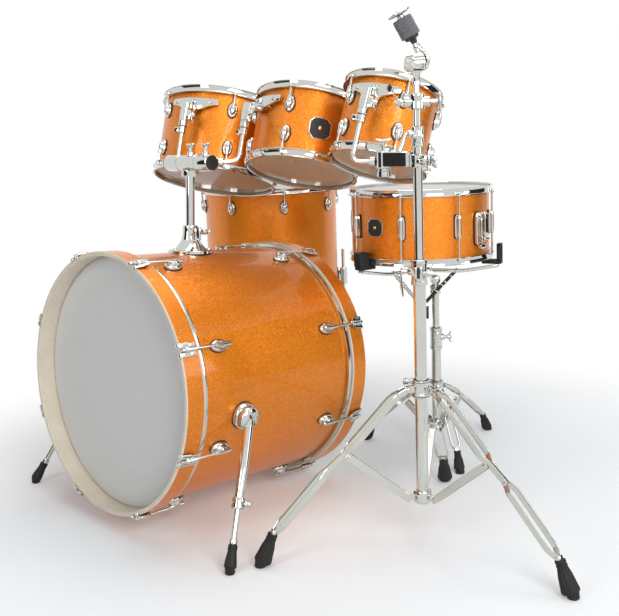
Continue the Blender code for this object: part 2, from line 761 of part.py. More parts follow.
def wing_screw(degrees, height, reach):
    """A wing screw that points outwards from a clamp."""
    spoke = turn(degrees)
    return [
        bar(spoke @ Vector((0.012, 0, height)), spoke @ Vector((reach, 0, height)), 0.0040, 6),
        block((0.004, 0.012, 0.028), spoke @ at(reach, 0, height)),
    ]


def cymbal_stand():
    base = CYMBAL_BASE
    ear = 0.0130
    frame = make_empty("cymbal_stand", Matrix.Translation(base), KIT_FRAME)
    hub_height = CYMBAL_BRACE[0][1]
    top = 0.600
    solids = [turned(tube_with_clamp(0.0102, CYMBAL_TUBE, 0.0168, hub_height - 0.005, top - 0.052, top), 12)]
    solids += hub(CYMBAL_TURN, hub_height, CYMBAL_BRACE[0][0] - BRACE_SWING, ear)
    solids += wing_screw(200, 0.575, 0.040)
    solids.append(block((0.016, 0.014, 0.040), turn(-45) @ at(0.019, 0, 0.572)))
    piece("cymbal_stand_base_tube", CHROME, solids, frame)
    tripod(
        "cymbal_stand", base, CYMBAL_TURN, CYMBAL_HINGE, CYMBAL_LEG, CYMBAL_FOOT, CYMBAL_BRACE,
        CYMBAL_STRIP_HEIGHT, CYMBAL_TUBE, ear,
    )

    mast = make_empty("cymbal_mast_slide", Matrix.Translation(base + Vector((0, 0, top))), KIT_FRAME)
    mast_top = 0.862
    shoulder = 0.822
    profile = tube_with_clamp(0.0084, CYMBAL_MAST, 0.0135, 0.430 - top, shoulder - top, mast_top - top)
    solids = [turned(profile, 12)]
    lever = turn(-110)
    grip = [lever @ Vector((0.010, 0, 0.848 - top)), lever @ Vector((0.026, 0, 0.848 - top))]
    solids.append(bent_rod(grip + [lever @ Vector((0.038, 0, 0.818 - top))], 0.0045))
    piece("cymbal_stand_mast", CHROME, solids, mast)

    rod = make_empty("cymbal_rod_slide", Matrix.Translation(base + Vector((0, 0, mast_top))), KIT_FRAME)
    along = turn(TILTER_HEADING)
    solids = [
        bar((0, 0, 0.740 - mast_top), (0, 0, TILTER_HEIGHT - 0.014 - mast_top), CYMBAL_ROD, 12),
        bar((0, 0, 0.893 - mast_top), (0, 0, 0.925 - mast_top), 0.0160, 12),
        bar(along @ Vector((-0.042, 0, 0.909 - mast_top)), along @ Vector((0.044, 0, 0.909 - mast_top)), 0.0045, 8),
        block((0.005, 0.012, 0.030), along @ at(-0.042, 0, 0.909 - mast_top)),
        block((0.005, 0.026, 0.034), along @ at(0.044, 0, 0.909 - mast_top)),
        bar(
            along @ Vector((-0.0235, 0, TILTER_HEIGHT - mast_top)),
            along @ Vector((0.0125, 0, TILTER_HEIGHT - mast_top)),
            0.0150,
            12,
        ),
    ]
    piece("cymbal_stand_top_rod", CHROME, solids, rod)
    cymbal_tilter(base, along)


def cymbal_tilter(base, along):
    """The tilting arm beside the ratchet, with the felts and the wing nut on its rod."""
    place = Matrix.Translation(base + Vector((0, 0, TILTER_HEIGHT))) @ along
    tilter = make_empty("cymbal_tilter_hinge", place, KIT_FRAME)
    start = 0.0125 + GAP
    shoulder = Vector((start + 0.0065, 0, 0.0235))
    elbow = Vector((0.0050, 0, 0.0262))
    lean = Vector((-0.47, 0, 0.883)).normalized()
    solids = [
        bar((start, 0, 0), (start + 0.013, 0, 0), 0.0155, 10),
        bar((start + 0.0075, 0, 0.004), shoulder, 0.0062, 6),
        bar(shoulder, elbow, 0.0052, 6),
        bar(elbow - lean * 0.001, elbow + lean * 0.083, 0.0035, 6),
        bar(elbow + lean * 0.022, elbow + lean * 0.029, 0.0140, 10),
        bar(elbow + lean * 0.0285, elbow + lean * 0.067, 0.0195, 12),
        bar(elbow + lean * 0.0745, elbow + lean * 0.0805, 0.0230, 10),
    ]
    piece("cymbal_tilter", CHROME, solids, tilter)


def small_tom_clamp(tom):
    """The clamp on the mast that holds the small tom's L-rod. It swivels about the mast."""
    height = 0.795
    frame = make_empty("small_tom_clamp_swivel", Matrix.Translation(CYMBAL_BASE + Vector((0, 0, height))), KIT_FRAME)
    eye = Vector((0.505, -0.175, height)) - CYMBAL_BASE - Vector((0, 0, height))
    toward = eye.normalized()
    side = Vector((-toward.y, toward.x, 0))
    bolt = -toward * 0.018
    solids = [
        ring(CYMBAL_MAST + 0.0006, 0.0175, -0.013, 0.013, 12),
        bar(toward * 0.0150, eye + toward * 0.010, 0.0135, 12),
        bar(eye + Vector((0, 0, -0.032)), eye + Vector((0, 0, 0.020)), 0.0155, 12),
        bar(eye + Vector((0, 0, 0.010)), eye + Vector((0, 0, 0.040)), 0.0040, 8),
        block((0.030, 0.010, 0.007), Matrix.Translation(eye) @ at(0, 0, 0.040)),
        bar(bolt + side * 0.034, bolt - side * 0.034, 0.0045, 8),
        block((0.010, 0.026, 0.010), Matrix.Translation(bolt - side * 0.034)),
        block((0.012, 0.040, 0.022), Matrix.Translation(bolt) @ turn(math.degrees(math.atan2(toward.y, toward.x)))),
    ]
    piece("small_tom_clamp", CHROME, solids, frame)
    eye += CYMBAL_BASE + Vector((0, 0, height))
    bend = rod_bend(SMALL_TOM, tom, SMALL_TOM_MOUNT, height)
    return eye + (bend - eye).normalized() * (0.0155 + GAP)


def snare_stand():
    base = SNARE_BASE
    ear = 0.0120
    frame = make_empty("snare_stand", Matrix.Translation(base), KIT_FRAME)
    hub_height = SNARE_BRACE[0][1]
    top = 0.333
    solids = [turned(tube_with_clamp(0.0102, SNARE_TUBE, 0.0168, hub_height - 0.005, top - 0.060, top), 12)]
    solids += hub(SNARE_TURN, hub_height, SNARE_BRACE[0][0] - BRACE_SWING, ear)
    solids += wing_screw(40, 0.306, 0.040)
    piece("snare_stand_base_tube", CHROME, solids, frame)
    tripod(
        "snare_stand", base, SNARE_TURN, SNARE_HINGE, SNARE_LEG, SNARE_FOOT, SNARE_BRACE,
        SNARE_STRIP_HEIGHT, SNARE_TUBE, ear,
    )

    slide = make_empty("snare_stand_slide", Matrix.Translation(base + Vector((0, 0, top))), KIT_FRAME)
    joint = 0.462
    toward = Vector((SNARE_AT.x - base.x, SNARE_AT.y - base.y, 0)).normalized()
    side = toward.cross(Vector((0, 0, 1)))
    barrel = Vector((0, 0, joint - top))
    solids = [
        bar((0, 0, 0.200 - top), (0, 0, joint - 0.018 - top), SNARE_UPPER, 12),
        bar((0, 0, joint - 0.038 - top), (0, 0, joint - 0.0145 - top), 0.0140, 12),
        bar(barrel - side * 0.0078 - Vector((0, 0, 0.020)), barrel - side * 0.0078, 0.0065, 8),
        bar(barrel - side * 0.014, barrel - side * GAP, 0.0125, 12),
    ]
    piece("snare_stand_upper_tube", CHROME, solids, slide)

    pivot_at = Vector((base.x, base.y, joint))
    tilt = make_empty("snare_basket_tilt", Matrix.Translation(pivot_at), KIT_FRAME)
    centre = Vector((SNARE_AT.x, SNARE_AT.y, 0.492)) - pivot_at
    solids = [
        bar(centre + Vector((0, 0, -0.012)), centre + Vector((0, 0, 0.010)), 0.024, 12),
        bar((0, 0, 0), side * 0.014, 0.0130, 12),
        bar(side * 0.0072, centre + side * 0.0072, 0.0065, 8),
    ]
    grip_radius = SNARE.radius + 0.007 + 0.0012
    hoop_low = SNARE_AT.z - SNARE.height / 2 - pivot_at.z
    for degrees in BASKET_ANGLES:
        out = turn(degrees) @ Vector((1, 0, 0))
        solids.append(bar(centre + out * 0.010, centre + out * 0.120, 0.0060, 8))
        start = centre + out * 0.118
        end = Vector((centre.x, centre.y, hoop_low - 0.0115)) + out * (grip_radius + 0.012)
        solids.append(bar(start, end, 0.0060, 8))
        seat = Vector((centre.x, centre.y, hoop_low)) + out * (grip_radius - 0.004)
        solids.append(block((0.036, 0.026, 0.012), Matrix.Translation(seat + Vector((0, 0, -0.0064))) @ turn(degrees)))
        wall = Vector((centre.x, centre.y, hoop_low + 0.014)) + out * (grip_radius + 0.0085)
        solids.append(block((0.011, 0.026, 0.052), Matrix.Translation(wall) @ turn(degrees)))
    solids.append(bar(centre + side * 0.015, centre + side * 0.055 + Vector((0, 0, -0.075)), 0.0060, 8))
    piece("snare_basket", CHROME, solids, tilt)


clear_scene()
KIT = make_collection("drum_kit")
CUTTERS = make_collection("drum_kit_cutters")
SHELL = make_material("orange_sparkle", (0.83, 0.31, 0.02), 0.30, 0.55)
CHROME = make_material("chrome", (0.80, 0.80, 0.80), 0.12, 1.0)
HEAD = make_material("drum_head", (0.86, 0.86, 0.84), 0.45, 0.0)
HOOP_WOOD = make_material("hoop_wood", (0.83, 0.33, 0.04), 0.30, 0.30)
RUBBER = make_material("rubber", (0.02, 0.02, 0.02), 0.70, 0.0)

KIT_FRAME = make_empty("kit", at(BASS_X, BASS_Y, 0))
BASS = bass_drum()
LARGE = leaning(LARGE_TOM_AT, *LARGE_TOM_LEAN)
MIDDLE = leaning(MIDDLE_TOM_AT, *MIDDLE_TOM_LEAN)
SMALL = leaning(SMALL_TOM_AT, *SMALL_TOM_LEAN)
ROD_LEVEL = holder_frame(BASS).translation.z
LARGE_BEND = rod_bend(LARGE_TOM, LARGE, LARGE_TOM_MOUNT, ROD_LEVEL)
MIDDLE_BEND = rod_bend(MIDDLE_TOM, MIDDLE, MIDDLE_TOM_MOUNT, ROD_LEVEL)
LEFT_END, RIGHT_END = tom_post_and_holder(BASS, (LARGE_BEND, MIDDLE_BEND))
hung_tom(LARGE_TOM, LARGE, LARGE_TOM_MOUNT)
hung_tom(MIDDLE_TOM, MIDDLE, MIDDLE_TOM_MOUNT)
hung_tom(SMALL_TOM, SMALL, SMALL_TOM_MOUNT)
tom_arm("large_tom_arm", LARGE_TOM, LARGE, LARGE_TOM_MOUNT, LEFT_END)
tom_arm("middle_tom_arm", MIDDLE_TOM, MIDDLE, MIDDLE_TOM_MOUNT, RIGHT_END)
cymbal_stand()
CLAMP_END = small_tom_clamp(SMALL)
tom_arm("small_tom_arm", SMALL_TOM, SMALL, SMALL_TOM_MOUNT, CLAMP_END)
spurs(BASS)
floor_tom()
snare_stand()
snare_drum()
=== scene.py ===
"""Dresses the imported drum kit: shells in orange metal-flake lacquer, chrome hardware, heads, rubber and felt.

Every piece is worked out in the frame's own coordinates, in metres, so that its object stays at the origin. The
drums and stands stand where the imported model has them, from the floor point under the bass drum's rear hoop.
"""
import math
from collections import namedtuple

import bmesh
import bpy
import numpy as np
from mathutils import Matrix, Vector


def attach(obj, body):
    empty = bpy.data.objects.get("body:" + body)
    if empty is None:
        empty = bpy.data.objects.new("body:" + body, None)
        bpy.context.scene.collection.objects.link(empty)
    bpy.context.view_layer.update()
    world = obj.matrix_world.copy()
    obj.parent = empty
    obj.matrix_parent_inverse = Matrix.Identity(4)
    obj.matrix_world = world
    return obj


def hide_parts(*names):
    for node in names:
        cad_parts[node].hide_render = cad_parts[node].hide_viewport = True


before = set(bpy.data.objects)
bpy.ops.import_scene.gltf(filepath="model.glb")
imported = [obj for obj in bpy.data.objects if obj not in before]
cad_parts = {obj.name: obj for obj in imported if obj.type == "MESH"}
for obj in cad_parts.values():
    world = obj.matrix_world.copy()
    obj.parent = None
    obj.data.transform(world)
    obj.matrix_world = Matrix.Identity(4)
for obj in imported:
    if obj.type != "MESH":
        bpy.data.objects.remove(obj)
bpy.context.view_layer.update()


def at(*point):
    return Matrix.Translation(Vector(point))


def turn(degrees, axis="Z"):
    return Matrix.Rotation(math.radians(degrees), 4, axis)


def stretch(x, y, z):
    return Matrix.Diagonal((x, y, z, 1.0))


def around(degrees, radius, height):
    """A spot on a drum's wall: X points outwards, Y along the wall and Z along the drum's axis."""
    return turn(degrees) @ at(radius, 0, height)


def along(start, end):
    """A frame at start whose Z runs towards end."""
    line = Vector(end) - Vector(start)
    return at(*start) @ line.to_track_quat("Z", "Y").to_matrix().to_4x4()


KIT = at(-0.1448, -0.0006, 0.0)
LEVEL = Matrix.Identity(4)
# Turns a flat shape so that it faces outwards from a wall: its X goes along the wall and its Y up the drum
OUTWARD = Matrix(((0, 0, 1, 0), (1, 0, 0, 0), (0, 1, 0, 0), (0, 0, 0, 1)))

# Bass drum
BASS_PITCH = math.radians(3.76)
BASS_RADIUS = 0.2795
BASS_WALL = 0.007
BASS_HOOP = 0.292
BASS_HOOP_WIDTH = 0.0447
BASS_HALF = 0.27075
BASS_EDGE = 0.230
BASS_LUG_AT = 0.163
BASS_ANGLES = [22.5 + 45.0 * i for i in range(8)]
MOUNT_FORWARD = 0.031
POST_RADIUS = 0.0105
POST_TOP = 0.466
HOLDER_HEIGHT = 0.487
SPUR_FORWARD = 0.109
SPUR_ANGLE = -9.5
SPUR_FOOT = (0.377, -0.523, 0.010)

# Toms
WALL = 0.006
HOOP_RISE = 0.009
LUG_DROP = 0.047
ROD_AT = 0.0100
ROD_RADIUS = 0.0026
ARM_RADIUS = 0.00525
ARM_OFFSET = 0.045

# Floor tom
FLOOR_LEG_ANGLES = (50.0, 170.0, 305.0)

# Stands
CYMBAL_BASE = Vector((0.5841, -0.1666, 0.0))
SNARE_BASE = Vector((0.2567, 0.3292, 0.0))
TUBE = 0.0127
TILTER_HEADING = 44.2
TILTER_HEIGHT = 0.9816
SMALL_CLAMP_HEIGHT = 0.795
SNARE_CENTRE = Vector((0.230, 0.303, 0.618))
# The joint that the snare basket tilts on: its height, and the direction of its axis
JOINT_HEIGHT = 0.462
TO_SNARE = Vector((SNARE_CENTRE.x - SNARE_BASE.x, SNARE_CENTRE.y - SNARE_BASE.y, 0)).normalized()
SNARE_SIDE = TO_SNARE.cross(Vector((0, 0, 1)))
BASKET_HEIGHT = 0.492
BASKET_ANGLES = (20.0, 140.0, 260.0)

# Where the L-rods bend, and where their level legs end
LARGE_BEND = Vector((-0.1037, -0.2254, 0.7971))
MIDDLE_BEND = Vector((0.0922, -0.2006, 0.7971))
SMALL_BEND = Vector((0.4418, -0.2028, 0.7950))
LEFT_END = Vector((-0.0750, -0.2488, 0.7971))
RIGHT_END = Vector((0.0669, -0.2417, 0.7971))
CLAMP_END = Vector((0.4905, -0.1814, 0.7950))

# Sides of a turned drum part, the grooves round a rubber foot, and the angle from which an edge is drawn
# sharp
STEPS = 128
FOOT_GROOVES = 9
SHARP_FROM = math.radians(38.0)


def leaning(centre, heading, tilt):
    """A drum's frame, whose Z leans by tilt degrees towards heading."""
    a, t = math.radians(heading), math.radians(tilt)
    axis = Vector((math.cos(a) * math.sin(t), math.sin(a) * math.sin(t), math.cos(t)))
    side = axis.cross(Vector((0, 0, 1))).normalized()
    return KIT @ at(*centre) @ Matrix((side, axis.cross(side), axis)).transposed().to_4x4()


class Drum:
    """A drum's sizes, the angles of its lugs, its frame and the body that it belongs to."""

    def __init__(self, name, radius, height, lugs, first_lug, place, body):
        self.name = name
        self.radius = radius
        self.edge = height / 2 - HOOP_RISE
        self.angles = [first_lug + 360.0 * i / lugs for i in range(lugs)]
        self.place = place
        self.body = body


LARGE = Drum("large_tom", 0.1524, 0.210, 5, 314.5,
             leaning((-0.185, -0.020, 0.838), 104.0, 18.2), "large_tom")
MIDDLE = Drum("middle_tom", 0.1270, 0.184, 5, 279.0,
              leaning((0.122, -0.004, 0.846), 104.5, 21.0), "middle_tom")
SMALL = Drum("small_tom", 0.1016, 0.184, 5, 323.0, leaning((0.388, -0.025, 0.862), 93.5, 23.0), "small_tom")
FLOOR = Drum("floor_tom", 0.2032, 0.424, 8, 327.6, KIT @ at(-0.391, 0.3505, 0.490), "kit")
SNARE = Drum("snare", 0.1778, 0.188, 8, 22.5, KIT @ at(*SNARE_CENTRE), "snare_drum")
MOUNTS = {"large_tom": 278.5, "middle_tom": 243.0, "small_tom": 287.0}


def bass_frame():
    """The bass drum's frame: Z towards the front head, Y upwards."""
    lift = BASS_HOOP * math.cos(BASS_PITCH)
    rearwards = Vector((0, math.cos(BASS_PITCH), -math.sin(BASS_PITCH)))
    upwards = Vector((0, math.sin(BASS_PITCH), math.cos(BASS_PITCH)))
    rotation = Matrix((Vector((1, 0, 0)), upwards, -rearwards)).transposed().to_4x4()
    return KIT @ Matrix.Translation(Vector((0, 0, lift)) - rearwards * BASS_HALF) @ rotation


BASS = bass_frame()
# The tom post's frame: Z up the post, X to the player's left
POST = BASS @ at(0, 0, MOUNT_FORWARD) @ turn(-90, "X")


def new_material(name):
    material = bpy.data.materials.new(name)
    material.use_nodes = True
    tree = material.node_tree
    return material, tree, tree.nodes["Principled BSDF"]


def add_node(tree, kind, **settings):
    """A node with its settings: a key that names an input sets that
    input, any other sets the node itself."""
    node = tree.nodes.new(kind)
    for key, value in settings.items():
        if key in node.inputs:
            node.inputs[key].default_value = value
        else:
            setattr(node, key, value)
    return node


def set_inputs(node, values):
    for name, value in values.items():
        node.inputs[name].default_value = value


def calculated(tree, operation, *values):
    """The result of a maths node. A value that is a number is set, and any other is linked."""
    node = add_node(tree, "ShaderNodeMath", operation=operation)
    for socket, value in zip(node.inputs, values):
        if isinstance(value, float):
            socket.default_value = value
        else:
            tree.links.new(value, socket)
    return node.outputs["Value"]


def mixed(tree, share, first, second):
    """The first shader where share is 0, and the second where it is 1."""
    node = add_node(tree, "ShaderNodeMixShader")
    for socket, value in zip(node.inputs, (share, first, second)):
        tree.links.new(value, socket)
    return node.outputs["Shader"]


def object_coordinates(tree, scale=(1, 1, 1)):
    place = add_node(tree, "ShaderNodeTexCoord")
    mapping = add_node(tree, "ShaderNodeMapping", Scale=scale)
    tree.links.new(place.outputs["Object"], mapping.inputs["Vector"])
    return mapping.outputs["Vector"]


def ramp(tree, source, stops):
    """A colour ramp through stops of (position, colour)."""
    node = add_node(tree, "ShaderNodeValToRGB")
    first, last = node.color_ramp.elements
    first.position, first.color = stops[0][0], (*stops[0][1], 1.0)
    last.position, last.color = stops[-1][0], (*stops[-1][1], 1.0)
    for position, colour in stops[1:-1]:
        node.color_ramp.elements.new(position).color = (*colour, 1.0)
    tree.links.new(source, node.inputs["Fac"])
    return node.outputs["Color"]


def spread(tree, source, low, high):
    """A value from 0 to 1 spread between low and high."""
    node = add_node(tree, "ShaderNodeMapRange")
    set_inputs(node, {"To Min": low, "To Max": high})
    tree.links.new(source, node.inputs["Value"])
    return node.outputs["Result"]


def bumped(tree, shader, source, strength, distance):
    node = add_node(tree, "ShaderNodeBump", Strength=strength, Distance=distance)
    tree.links.new(source, node.inputs["Height"])
    tree.links.new(node.outputs["Normal"], shader.inputs["Normal"])


def noise(tree, vector, scale, detail=3.0, roughness=0.5):
    node = add_node(tree, "ShaderNodeTexNoise", Scale=scale, Detail=detail, Roughness=roughness)
    tree.links.new(vector, node.inputs["Vector"])
    return node.outputs["Fac"]


def sparkle_lacquer(name, flake_size, tilt_by):
    """Metal flakes under clear lacquer: a cell pattern gives each flake its
    own colour and its own small tilt."""
    material, tree, shader = new_material(name)
    flakes = add_node(tree, "ShaderNodeTexVoronoi", Scale=1.0 / flake_size)
    tree.links.new(object_coordinates(tree), flakes.inputs["Vector"])
    grain = add_node(tree, "ShaderNodeSeparateColor")
    tree.links.new(flakes.outputs["Color"], grain.inputs["Color"])
    colour = ramp(tree, grain.outputs["Red"], [
        (0.00, (0.58, 0.135, 0.002)),
        (0.55, (0.77, 0.200, 0.003)),
        (0.90, (0.91, 0.290, 0.008)),
        (1.00, (1.00, 0.500, 0.060)),
    ])
    tree.links.new(colour, shader.inputs["Base Color"])
    centred = add_node(tree, "ShaderNodeVectorMath", operation="SUBTRACT")
    centred.inputs[1].default_value = (0.5, 0.5, 0.5)
    tree.links.new(flakes.outputs["Color"], centred.inputs[0])
    tilted = add_node(tree, "ShaderNodeVectorMath", operation="MULTIPLY_ADD")
    tilted.inputs[1].default_value = (tilt_by, tilt_by, tilt_by)
    surface = add_node(tree, "ShaderNodeNewGeometry")
    tree.links.new(centred.outputs["Vector"], tilted.inputs[0])
    tree.links.new(surface.outputs["Normal"], tilted.inputs[2])
    unit = add_node(tree, "ShaderNodeVectorMath", operation="NORMALIZE")
    tree.links.new(tilted.outputs["Vector"], unit.inputs[0])
    tree.links.new(unit.outputs["Vector"], shader.inputs["Normal"])
    set_inputs(shader, {"Metallic": 0.72, "Roughness": 0.36, "Coat Weight": 0.45, "Coat Roughness": 0.035,
                        "Coat IOR": 1.45})
    return material


def plating(name, colour, roughness, waviness):
    """Plated metal: faint smears in its colour and gloss, over a slightly wavy casting or sheet."""
    material, tree, shader = new_material(name)
    place = object_coordinates(tree)
    smear = noise(tree, place, 55.0, 4.0)
    tint = ramp(tree, smear, [(0.35, [c * 0.95 for c in colour]), (0.70, colour)])
    tree.links.new(tint, shader.inputs["Base Color"])
    tree.links.new(spread(tree, smear, roughness * 0.6, roughness * 1.5), shader.inputs["Roughness"])
    bumped(tree, shader, noise(tree, place, 90.0, 2.0), waviness, 0.0006)
    set_inputs(shader, {"Metallic": 1.0})
    return material


def grained(name, low, high, roughness, scale, bump, distance=0.0005, stretch_by=(1, 1, 1), sheen=0.0,
            gloss=0.5):
    """A non-metal whose colour and relief follow one noise, drawn out along an axis if need be."""
    material, tree, shader = new_material(name)
    grain = noise(tree, object_coordinates(tree, stretch_by), scale, 5.0, 0.6)
    tree.links.new(ramp(tree, grain, [(0.32, low), (0.68, high)]), shader.inputs["Base Color"])
    bumped(tree, shader, grain, bump, distance)
    set_inputs(shader, {"Roughness": roughness, "Specular IOR Level": gloss, "Sheen Weight": sheen})
    return material


def clear_drum_film(name):
    """Clear drum film: mostly see-through, with a milky haze that varies a little."""
    material, tree, shader = new_material(name)
    haze = noise(tree, object_coordinates(tree), 30.0, 3.0)
    set_inputs(shader, {"Base Color": (0.84, 0.70, 0.54, 1.0), "Roughness": 0.10})
    tree.links.new(spread(tree, haze, 0.34, 0.46), shader.inputs["Alpha"])
    bumped(tree, shader, haze, 0.05, 0.001)
    return material


SPARKLE = sparkle_lacquer("orange_sparkle_lacquer", 0.0009, 0.32)
CHROME = plating("bright_chrome", (0.62, 0.625, 0.590), 0.050, 0.02)
STRIP = plating("plated_strip_steel", (0.61, 0.620, 0.565), 0.14, 0.05)
BRASS = plating("brass_eyelet", (0.80, 0.62, 0.34), 0.14, 0.10)
MAPLE = grained("pale_maple", (0.62, 0.40, 0.20), (0.76, 0.53, 0.30), 0.42, 30.0, 0.15,
                stretch_by=(1, 1, 9))
CREAM = grained("cream_lacquered_wood", (0.66, 0.585, 0.47), (0.74, 0.665, 0.55), 0.30, 24.0, 0.08)
COATED = grained("coated_film", (0.64, 0.64, 0.625), (0.70, 0.70, 0.685), 0.55, 260.0, 0.10, 0.0002)
RUBBER = grained("black_rubber", (0.012, 0.012, 0.011), (0.026, 0.025, 0.024), 0.55, 320.0,
                 0.22, gloss=0.25)
PLASTIC = grained("black_plastic", (0.010, 0.010, 0.011), (0.020, 0.020, 0.021), 0.30, 150.0, 0.08)
# Black gasket rubber. Also used as painted shade: black bars and blocks that fill slots and clamp slits, where
# there is only shade
BLACK_GASKET_AND_SLOT_SHADE = grained("black_gasket_and_slot_shade", (0.008, 0.008, 0.008), (0.018, 0.018, 0.018), 0.60, 200.0, 0.05)
FELT = grained("grey_felt", (0.075, 0.077, 0.085), (0.19, 0.19, 0.20), 0.95, 420.0, 0.90, 0.0012, sheen=0.4)
CLEAR = clear_drum_film("clear_drum_film")


def circle(radius, sides):
    """An outline: sides points round a circle."""
    a = np.arange(sides) * 2 * math.pi / sides
    return np.column_stack([radius * np.cos(a), radius * np.sin(a)])


def oval(width, height, steps=40, power=2.0):
    """An outline between an ellipse, at power 2, and a rectangle, at a high power: |x/a|^p
    + |y/b|^p = 1, with p the power."""
    a = np.arange(steps) * 2 * math.pi / steps
    c, s = np.cos(a), np.sin(a)
    x = np.sign(c) * np.abs(c) ** (2 / power) * width / 2
    y = np.sign(s) * np.abs(s) ** (2 / power) * height / 2
    return np.column_stack([x, y])


def rounded(points, radius, steps=6):
    """A path whose inner corners become quadratic arcs that start a radius away from the corner."""
    points = [np.array(p, float) for p in points]
    t = np.linspace(0, 1, steps + 1)[:, None]
    path = [points[0][None]]
    for before, point, after in zip(points, points[1:], points[2:]):
        back, on = before - point, after - point
        reach = min(radius, np.linalg.norm(back) * 0.49, np.linalg.norm(on) * 0.49)
        first = point + back / np.linalg.norm(back) * reach
        last = point + on / np.linalg.norm(on) * reach
        path.append(first * (1 - t) ** 2 + point * 2 * t * (1 - t) + last * t**2)
    path.append(points[-1][None])
    return np.concatenate(path)


def capped(rows):
    """The same rows with one more at each end, whose points all lie at the middle of the row beside it."""
    first, last = (np.repeat(rows[k].mean(axis=0)[None, None], rows.shape[1], axis=1) for k in (0, -1))
    return np.concatenate([first, rows, last])


def graded(path, stops, values):
    """A number for each point of a path, between stops from 0 at its start to 1 at its end."""
    return np.interp(np.linspace(0, 1, len(path)), stops, values)


def knurled(depth, count, *rows):
    """A swell for a turned part: fine ridges round the given rows of its
    profile, depth * cos(count * a)."""
    return lambda a, row: depth * np.cos(count * a) * (row in rows)


